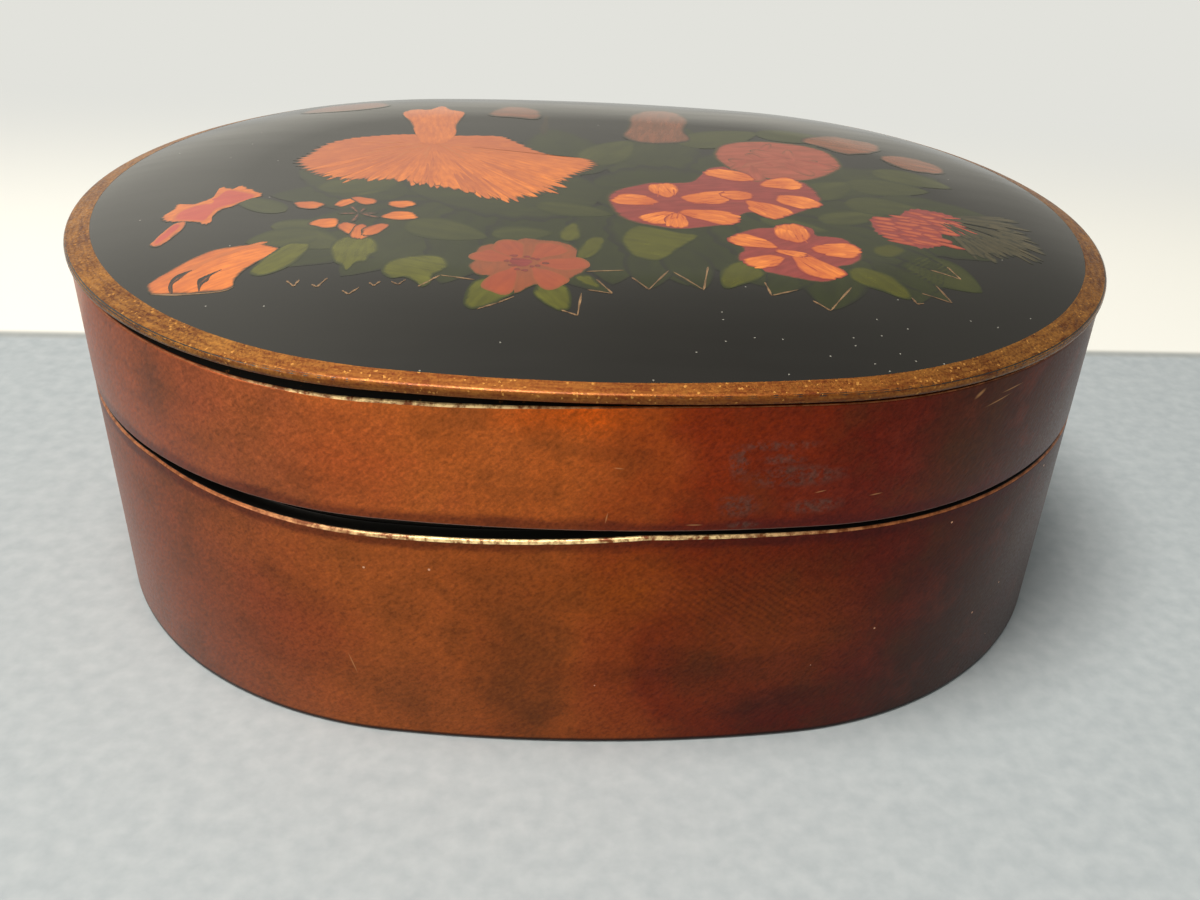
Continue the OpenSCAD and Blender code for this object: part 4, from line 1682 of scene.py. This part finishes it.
class LACQUERBOX_OT_round_flowers(bpy.types.Operator):
    """Paint the round crimson flowers and their petals"""

    bl_idname = "lacquerbox.round_flowers"
    bl_label = "Round flowers"
    bl_options = {"REGISTER", "UNDO"}

    def execute(self, context):
        draw = random.Random(91)
        deselect()
        discs = [
            patch(TWIN_FLOWER, 10, "disc", 0, 0.5),
            patch(FRONT_FLOWER, 40, "disc", 1, 0.6),
        ]
        finish_paint("round_flowers", discs, "crimson")
        sheets = []
        for mark in ROUND_PETALS:
            tone = draw.uniform(0.1, 0.6)
            sheets.append(petal(mark, "petal", len(sheets), tone, narrow=0.4, jag=0.1))
            for side in (-0.26, 0.0, 0.26):
                foot = turned(mark, mark.long * draw.uniform(0.2, 0.4), side * mark.wide)
                stroke = Mark(*foot, mark.heading + draw.uniform(-6, 6),
                              mark.long * draw.uniform(0.4, 0.6),
                              mark.wide * draw.uniform(0.16, 0.3))
                brighter = min(1, tone + draw.uniform(0.1, 0.5))
                sheets.append(petal(stroke, "petal", len(sheets), brighter, narrow=0.5, dry=0.55))
        finish_paint("round_petals", sheets, "petal")
        veins = []
        for mark in ROUND_PETALS:
            for _ in range(3):
                foot = turned(mark, mark.long * draw.uniform(0, 0.25),
                              draw.uniform(-0.3, 0.3) * mark.wide)
                vein = Mark(*foot, mark.heading + draw.uniform(-14, 14),
                            mark.long * draw.uniform(0.2, 0.45), draw.uniform(0.25, 0.5))
                veins.append(petal(vein, "line", len(veins), draw.uniform(0, 0.6), narrow=0.6))
        finish_paint("petal_veins", veins, "vein")
        return {"FINISHED"}


# Outlines of the flowers behind
ROUND_BACK_FLOWER = [
    (19.4, 17.1), (20.8, 22.1), (23.8, 24.6), (28.6, 25.8), (33.2, 25.3), (37.3, 23.8),
    (40.3, 20.7), (41.5, 14.6), (40.1, 11.2), (37.5, 8.1), (33.8, 5.6), (29.7, 5.2),
    (26.3, 6.4), (22.2, 9.3), (20.2, 12.9),
]
UPRIGHT_BACK_FLOWER = [
    (4.2, 25), (5.2, 31), (6, 38), (9.6, 43), (14, 43), (16.6, 37), (15.6, 30), (16, 24.2),
    (11.7, 22), (7.1, 22),
]
FAR_RIGHT_FLOWERS = [
    [(35.7, 27.3), (41.4, 31), (45.6, 29.9), (50.3, 27.4), (49.4, 22.4), (43.4, 20),
     (39.1, 23.4)],
    [(48.6, 19.6), (52, 21.4), (56, 20.6), (59.6, 16.6), (58.6, 12.6), (54, 12.4), (50.4, 15)],
]
PALE_PETALS = [
    [(-53, 35), (-51, 41), (-46, 44), (-40, 44.4), (-37.8, 40), (-41, 36.6), (-47, 34.6)],
    [(-19.8, 34.4), (-17.3, 41), (-15.1, 41.8), (-12.5, 41), (-10.2, 38), (-10.7, 33),
     (-14.7, 33.2)],
]


class LACQUERBOX_OT_back_flowers(bpy.types.Operator):
    """Paint the coral flowers towards the back and the right"""

    bl_idname = "lacquerbox.back_flowers"
    bl_label = "Back flowers"
    bl_options = {"REGISTER", "UNDO"}

    def execute(self, context):
        deselect()
        draw = random.Random(101)
        sheets = [patch(ROUND_BACK_FLOWER, 10, "disc", 2, 0.4)]
        for i in range(12):
            mark = Mark(30 + draw.uniform(-5, 5), 15 + draw.uniform(-4, 4), 30 * i,
                        draw.uniform(6, 9), draw.uniform(2, 4))
            sheets.append(petal(mark, "disc", 6 + i, draw.uniform(0, 0.8), narrow=0.5, foot=0,
                                dry=0.4))
        finish_paint("back_flowers", sheets, "rose")
        faded = [patch(UPRIGHT_BACK_FLOWER, 80, "disc", 3, 0.3)]
        for i, outline in enumerate(FAR_RIGHT_FLOWERS):
            faded.append(patch(outline, 340, "disc", 4 + i, 0.9, teeth=12, depth=0.06))
        faded.append(line([(-9.2, 36), (-9.4, 30), (-9.8, 24)], 1.4, "disc", 23, 0.1))
        finish_paint("faded_flowers", faded, "faded")
        pale = [patch(points, 10, "disc", 20 + i, 0.0) for i, points in enumerate(PALE_PETALS)]
        finish_paint("back_petals", pale, "faded")
        return {"FINISHED"}


def inside_outline(x, y, points):
    """Whether a point lies inside a closed outline."""
    inside = False
    for (ax, ay), (bx, by) in zip(points, points[1:] + points[:1]):
        if (ay > y) != (by > y) and x < ax + (y - ay) / (by - ay) * (bx - ax):
            inside = not inside
    return inside


# The ragged flower's outline
RIGHT_FLOWER = [
    (41.2, -9.6), (45.4, -8.9), (47.7, -5.9), (49.9, -4.8), (52.3, -5.5), (54.3, -6.5),
    (56.2, -9.1), (55.8, -12), (54.5, -13.5), (52, -14.7), (51.2, -17.9), (49.6, -20.7),
    (48.1, -22), (46, -21.9), (43.1, -18.3), (41, -16.9), (40.6, -14.2),
]


class LACQUERBOX_OT_right_flower(bpy.types.Operator):
    """Paint the ragged flower at the right, with slanting strokes"""

    bl_idname = "lacquerbox.right_flower"
    bl_label = "Right flower"
    bl_options = {"REGISTER", "UNDO"}

    def execute(self, context):
        draw = random.Random(105)
        left, right, top, row_height, slant = 40.8, 54, -8.2, 1.5, 0.12
        deselect()
        sheets = [patch(RIGHT_FLOWER, 340, "disc", 0, 0.6, teeth=30, depth=0.08)]
        finish_paint("right_flower", sheets, "crimson")
        strokes = []
        for row in range(9):
            start = left + draw.uniform(0, 1) + 0.6 * max(0, row - 5)
            while start < right:
                raised = 2.4 if start > 46 else 0
                y = top - row_height * row - (start - 41) * slant + raised
                if inside_outline(start + 1.4, y, RIGHT_FLOWER):
                    mark = Mark(start, y, 336 + draw.uniform(-12, 12), draw.uniform(3, 5),
                                draw.uniform(1.3, 1.9))
                    strokes.append(petal(mark, "petal", len(strokes), draw.uniform(0, 0.8),
                                         narrow=0.3, jag=0.15))
                start += draw.uniform(2.6, 3.8)
        finish_paint("right_strokes", strokes, "stroke")
        return {"FINISHED"}


class LACQUERBOX_OT_feather_fan(bpy.types.Operator):
    """Paint the thin fan at the right end of the bouquet"""

    bl_idname = "lacquerbox.feather_fan"
    bl_label = "Feather fan"
    bl_options = {"REGISTER", "UNDO"}

    def execute(self, context):
        draw = random.Random(111)
        root_x, root_y, middle_heading = 51, -9, 325
        deselect()
        strokes = []
        for i in range(70):
            heading = draw.uniform(285, 372)
            angle = math.radians(heading)
            start = draw.uniform(2, 11)
            foot = (root_x + start * math.cos(angle), root_y + start * math.sin(angle))
            room = 19 - abs(heading - middle_heading) / 9
            mark = Mark(*foot, heading + draw.uniform(-6, 6),
                        draw.uniform(0.4, 0.85) * (room - start + 3), draw.uniform(0.8, 2))
            strokes.append(petal(mark, "leaf", i, draw.uniform(0, 0.7), narrow=0.4))
        finish_paint("feather_fan", strokes, "feather")
        return {"FINISHED"}


# The stage

STUDIO = {
    "lens": 37.68, "sensor": 36.0, "shift": (-0.05, 0.05),
    "place": (-5.33 * MM, -193.96 * MM, 131.96 * MM), "yaw": 0.09444, "pitch": 0.59227,
    "roll": 0.07069,
}


def make_camera():
    """The camera that the photograph was taken with, as fitted to the box's edges."""
    yaw, pitch, roll = STUDIO["yaw"], STUDIO["pitch"], STUDIO["roll"]
    ahead = Vector((math.sin(yaw) * math.cos(pitch), math.cos(yaw) * math.cos(pitch),
                    -math.sin(pitch)))
    level = Vector((math.cos(yaw), -math.sin(yaw), 0))
    upright = level.cross(ahead)
    right = math.cos(roll) * level + math.sin(roll) * upright
    up = -math.sin(roll) * level + math.cos(roll) * upright
    bpy.ops.object.camera_add()
    camera = bpy.context.object
    camera.name = "studio_camera"
    turn = Matrix((right, up, -ahead)).transposed().to_4x4()
    camera.matrix_world = Matrix.Translation(STUDIO["place"]) @ turn
    camera.data.sensor_width = STUDIO["sensor"]
    camera.data.lens = STUDIO["lens"]
    camera.data.shift_x, camera.data.shift_y = STUDIO["shift"]
    camera.data.clip_start = 0.01
    bpy.context.scene.camera = camera


def lamp(name, place, aim, size, power, tint):
    """A round soft lamp that shines from its place to its aim."""
    bpy.ops.object.light_add(type="AREA", location=place)
    light = bpy.context.object
    light.name = name
    light.data.shape = "DISK"
    light.data.size = size
    light.data.energy = power
    light.data.color = linear(tint)
    light.rotation_euler = (Vector(aim) - Vector(place)).to_track_quat("-Z", "Y").to_euler()


def table_card():
    """Matt blue-grey card with a faint fibre, going over to a pale backdrop."""
    material, tree, shader = new_material("matt_table_card")
    place = add(tree, "ShaderNodeTexCoord").outputs["Object"]
    askew = add(tree, "ShaderNodeMapping", {"Rotation": (0, 0, math.radians(-1.3))},
                {"Vector": place})
    split = add(tree, "ShaderNodeSeparateXYZ", {}, {"Vector": askew})
    fibre = add(tree, "ShaderNodeTexNoise", {"Scale": per_mm(3), "Detail": 6.0},
                {"Vector": place})
    cloud = add(tree, "ShaderNodeMapRange", {"From Min": 0.3, "From Max": 0.7}, {"Value": fibre})
    card = add(tree, "ShaderNodeMix", {"data_type": "RGBA", 6: "#a3abaf", 7: "#b0b7ba"},
               {0: cloud})

    # The pale backdrop begins close behind the box, at a slight angle, with a painted shade line
    # along its foot
    edge = add(tree, "ShaderNodeMapRange",
               {"From Min": 69.2 * MM, "From Max": 71.4 * MM,
                "interpolation_type": "SMOOTHSTEP"},
               {"Value": split.outputs["Y"]})
    distance = add(tree, "ShaderNodeCombineXYZ", {}, {"Y": split.outputs["Y"]})
    backdrop_foot_shade = oval_mask(tree, distance, 0, 69.6, 1, 2.6, 0, 0.8, 0.4)
    for shade, share in (("#efefe8", edge), ("#8c8a80", backdrop_foot_shade)):
        card = add(tree, "ShaderNodeMix", {"data_type": "RGBA", 7: shade}, {0: share, 6: card})
    set_up(shader, {"Roughness": 0.85}, {"Base Color": card})

    # It keeps its own tone further back, and the floor does so all round, where the
    # lamps no longer reach
    far = add(tree, "ShaderNodeMapRange",
              {"From Min": 110 * MM, "From Max": 260 * MM,
               "interpolation_type": "SMOOTHSTEP"},
              {"Value": split.outputs["Y"]})
    away = add(tree, "ShaderNodeVectorMath", {"operation": "LENGTH"}, {0: place})
    outer = add(tree, "ShaderNodeMapRange",
                {"From Min": 190 * MM, "From Max": 600 * MM,
                 "interpolation_type": "SMOOTHSTEP"},
                {"Value": away})
    unlit = add(tree, "ShaderNodeMath", {"operation": "MAXIMUM"}, {0: far, 1: outer})
    path = add(tree, "ShaderNodeLightPath")
    direct = add(tree, "ShaderNodeMath", {"operation": "MAXIMUM"},
                 {0: path.outputs["Is Camera Ray"], 1: path.outputs["Is Glossy Ray"]})
    seen = add(tree, "ShaderNodeMath", {"operation": "MAXIMUM"},
               {0: direct, 1: path.outputs["Is Transmission Ray"]})
    share = add(tree, "ShaderNodeMath", {"operation": "MULTIPLY"}, {0: unlit, 1: seen})
    pale = add(tree, "ShaderNodeEmission", {"Color": "#e2e2dc", "Strength": 1.0})
    backdrop = add(tree, "ShaderNodeMixShader", {}, {0: share, 1: shader, 2: pale})
    set_up(tree.get_output_node("ALL"), {}, {"Surface": backdrop})
    return material


def surroundings():
    """What the lacquer mirrors, and a soft light that comes from all sides.

    Low down the mirrored room is pale. Higher up it is bright on the left and dim on
    the right. Seen straight, or through glass, it is even and pale.
    """
    world = bpy.data.worlds.new("soft_surroundings")
    world.use_nodes = True
    tree = world.node_tree
    tree.nodes.clear()
    sky = add(tree, "ShaderNodeTexCoord")
    split = add(tree, "ShaderNodeSeparateXYZ", {}, {"Vector": sky.outputs["Generated"]})
    upper = add(tree, "ShaderNodeMapRange",
                {"From Min": 0.15, "From Max": -0.45, "To Min": 0.34, "To Max": 1.09,
                 "interpolation_type": "SMOOTHSTEP"},
                {"Value": split.outputs["X"]})
    lower = add(tree, "ShaderNodeMapRange",
                {"From Min": 0.45, "From Max": 0.15, "To Min": 0.5, "To Max": 0.95,
                 "interpolation_type": "SMOOTHSTEP"},
                {"Value": split.outputs["X"]})
    low = add(tree, "ShaderNodeMapRange",
              {"From Min": 0.36, "From Max": 0.2, "interpolation_type": "SMOOTHSTEP"},
              {"Value": split.outputs["Z"]})
    level = add(tree, "ShaderNodeMix", {}, {0: low, 2: upper, 3: lower})
    mirrored = add(tree, "ShaderNodeBackground", {"Color": (1.0, 0.965, 0.85, 1.0)},
                   {"Strength": level})
    soft = add(tree, "ShaderNodeBackground", {"Color": "#e6e6e2", "Strength": 0.45})
    pale = add(tree, "ShaderNodeBackground", {"Color": "#e6e6e2", "Strength": 1.0})
    path = add(tree, "ShaderNodeLightPath")
    glossy = add(tree, "ShaderNodeMixShader", {},
                 {0: path.outputs["Is Glossy Ray"], 1: soft, 2: mirrored})
    seen = add(tree, "ShaderNodeMath", {"operation": "MAXIMUM"},
               {0: path.outputs["Is Camera Ray"], 1: path.outputs["Is Transmission Ray"]})
    mix = add(tree, "ShaderNodeMixShader", {}, {0: seen, 1: glossy, 2: pale})
    add(tree, "ShaderNodeOutputWorld", {}, {"Surface": mix})
    return world


class LACQUERBOX_OT_stage(bpy.types.Operator):
    """Make the pale floor, the lamps, the surroundings and the camera"""

    bl_idname = "lacquerbox.stage"
    bl_label = "Stage"
    bl_options = {"REGISTER", "UNDO"}

    def execute(self, context):
        scene = bpy.context.scene
        scene.view_settings.view_transform = "Standard"
        deselect()
        bpy.ops.mesh.primitive_grid_add(x_subdivisions=8, y_subdivisions=8, size=6)
        floor = bpy.context.object
        floor.name = "studio_floor"
        floor.data.materials.append(table_card())
        deselect()
        lamp("key_lamp", place=(-0.12, -0.13, 0.72), aim=(0.01, 0, 0.02), size=0.3, power=5.6,
             tint="#fffaf2")
        lamp("side_lamp", place=(-0.46, -0.38, 0.2), aim=(0, 0, 0.03), size=0.3, power=0.7,
             tint="#fff4e6")
        make_camera()
        scene.world = surroundings()
        return {"FINISHED"}


OPERATORS = [
    LACQUERBOX_OT_stage, LACQUERBOX_OT_bottom, LACQUERBOX_OT_body_strip,
    LACQUERBOX_OT_liner, LACQUERBOX_OT_lid_strip, LACQUERBOX_OT_lid_board,
    LACQUERBOX_OT_gold_band, LACQUERBOX_OT_worn_arrises, LACQUERBOX_OT_leaves,
    LACQUERBOX_OT_fringed_flower, LACQUERBOX_OT_bud, LACQUERBOX_OT_half_flower,
    LACQUERBOX_OT_small_flower, LACQUERBOX_OT_coral_flower, LACQUERBOX_OT_round_flowers,
    LACQUERBOX_OT_back_flowers, LACQUERBOX_OT_right_flower, LACQUERBOX_OT_feather_fan,
]


class LACQUERBOX_PT_panel(bpy.types.Panel):
    """Lists the box's sizes, colours and pieces"""

    bl_idname = "LACQUERBOX_PT_panel"
    bl_label = "Lacquered box"
    bl_space_type = "VIEW_3D"
    bl_region_type = "UI"
    bl_category = "Lacquered box"

    def draw(self, context):
        for group in (sizes(), colours()):
            box = self.layout.box()
            for key in group.__annotations__:
                box.prop(group, key)
        for each in OPERATORS:
            self.layout.operator(each.bl_idname)


CLASSES = [BoxSizes, BoxColours, *OPERATORS, LACQUERBOX_PT_panel]


def register():
    for each in CLASSES:
        bpy.utils.register_class(each)
    bpy.types.Scene.lacquer_sizes = bpy.props.PointerProperty(type=BoxSizes)
    bpy.types.Scene.lacquer_colours = bpy.props.PointerProperty(type=BoxColours)


def unregister():
    del bpy.types.Scene.lacquer_colours
    del bpy.types.Scene.lacquer_sizes
    for each in reversed(CLASSES):
        bpy.utils.unregister_class(each)


def main():
    register()
    for each in OPERATORS:
        getattr(bpy.ops.lacquerbox, each.bl_idname.split(".")[1])()
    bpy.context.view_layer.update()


if __name__ == "__main__":
    main()
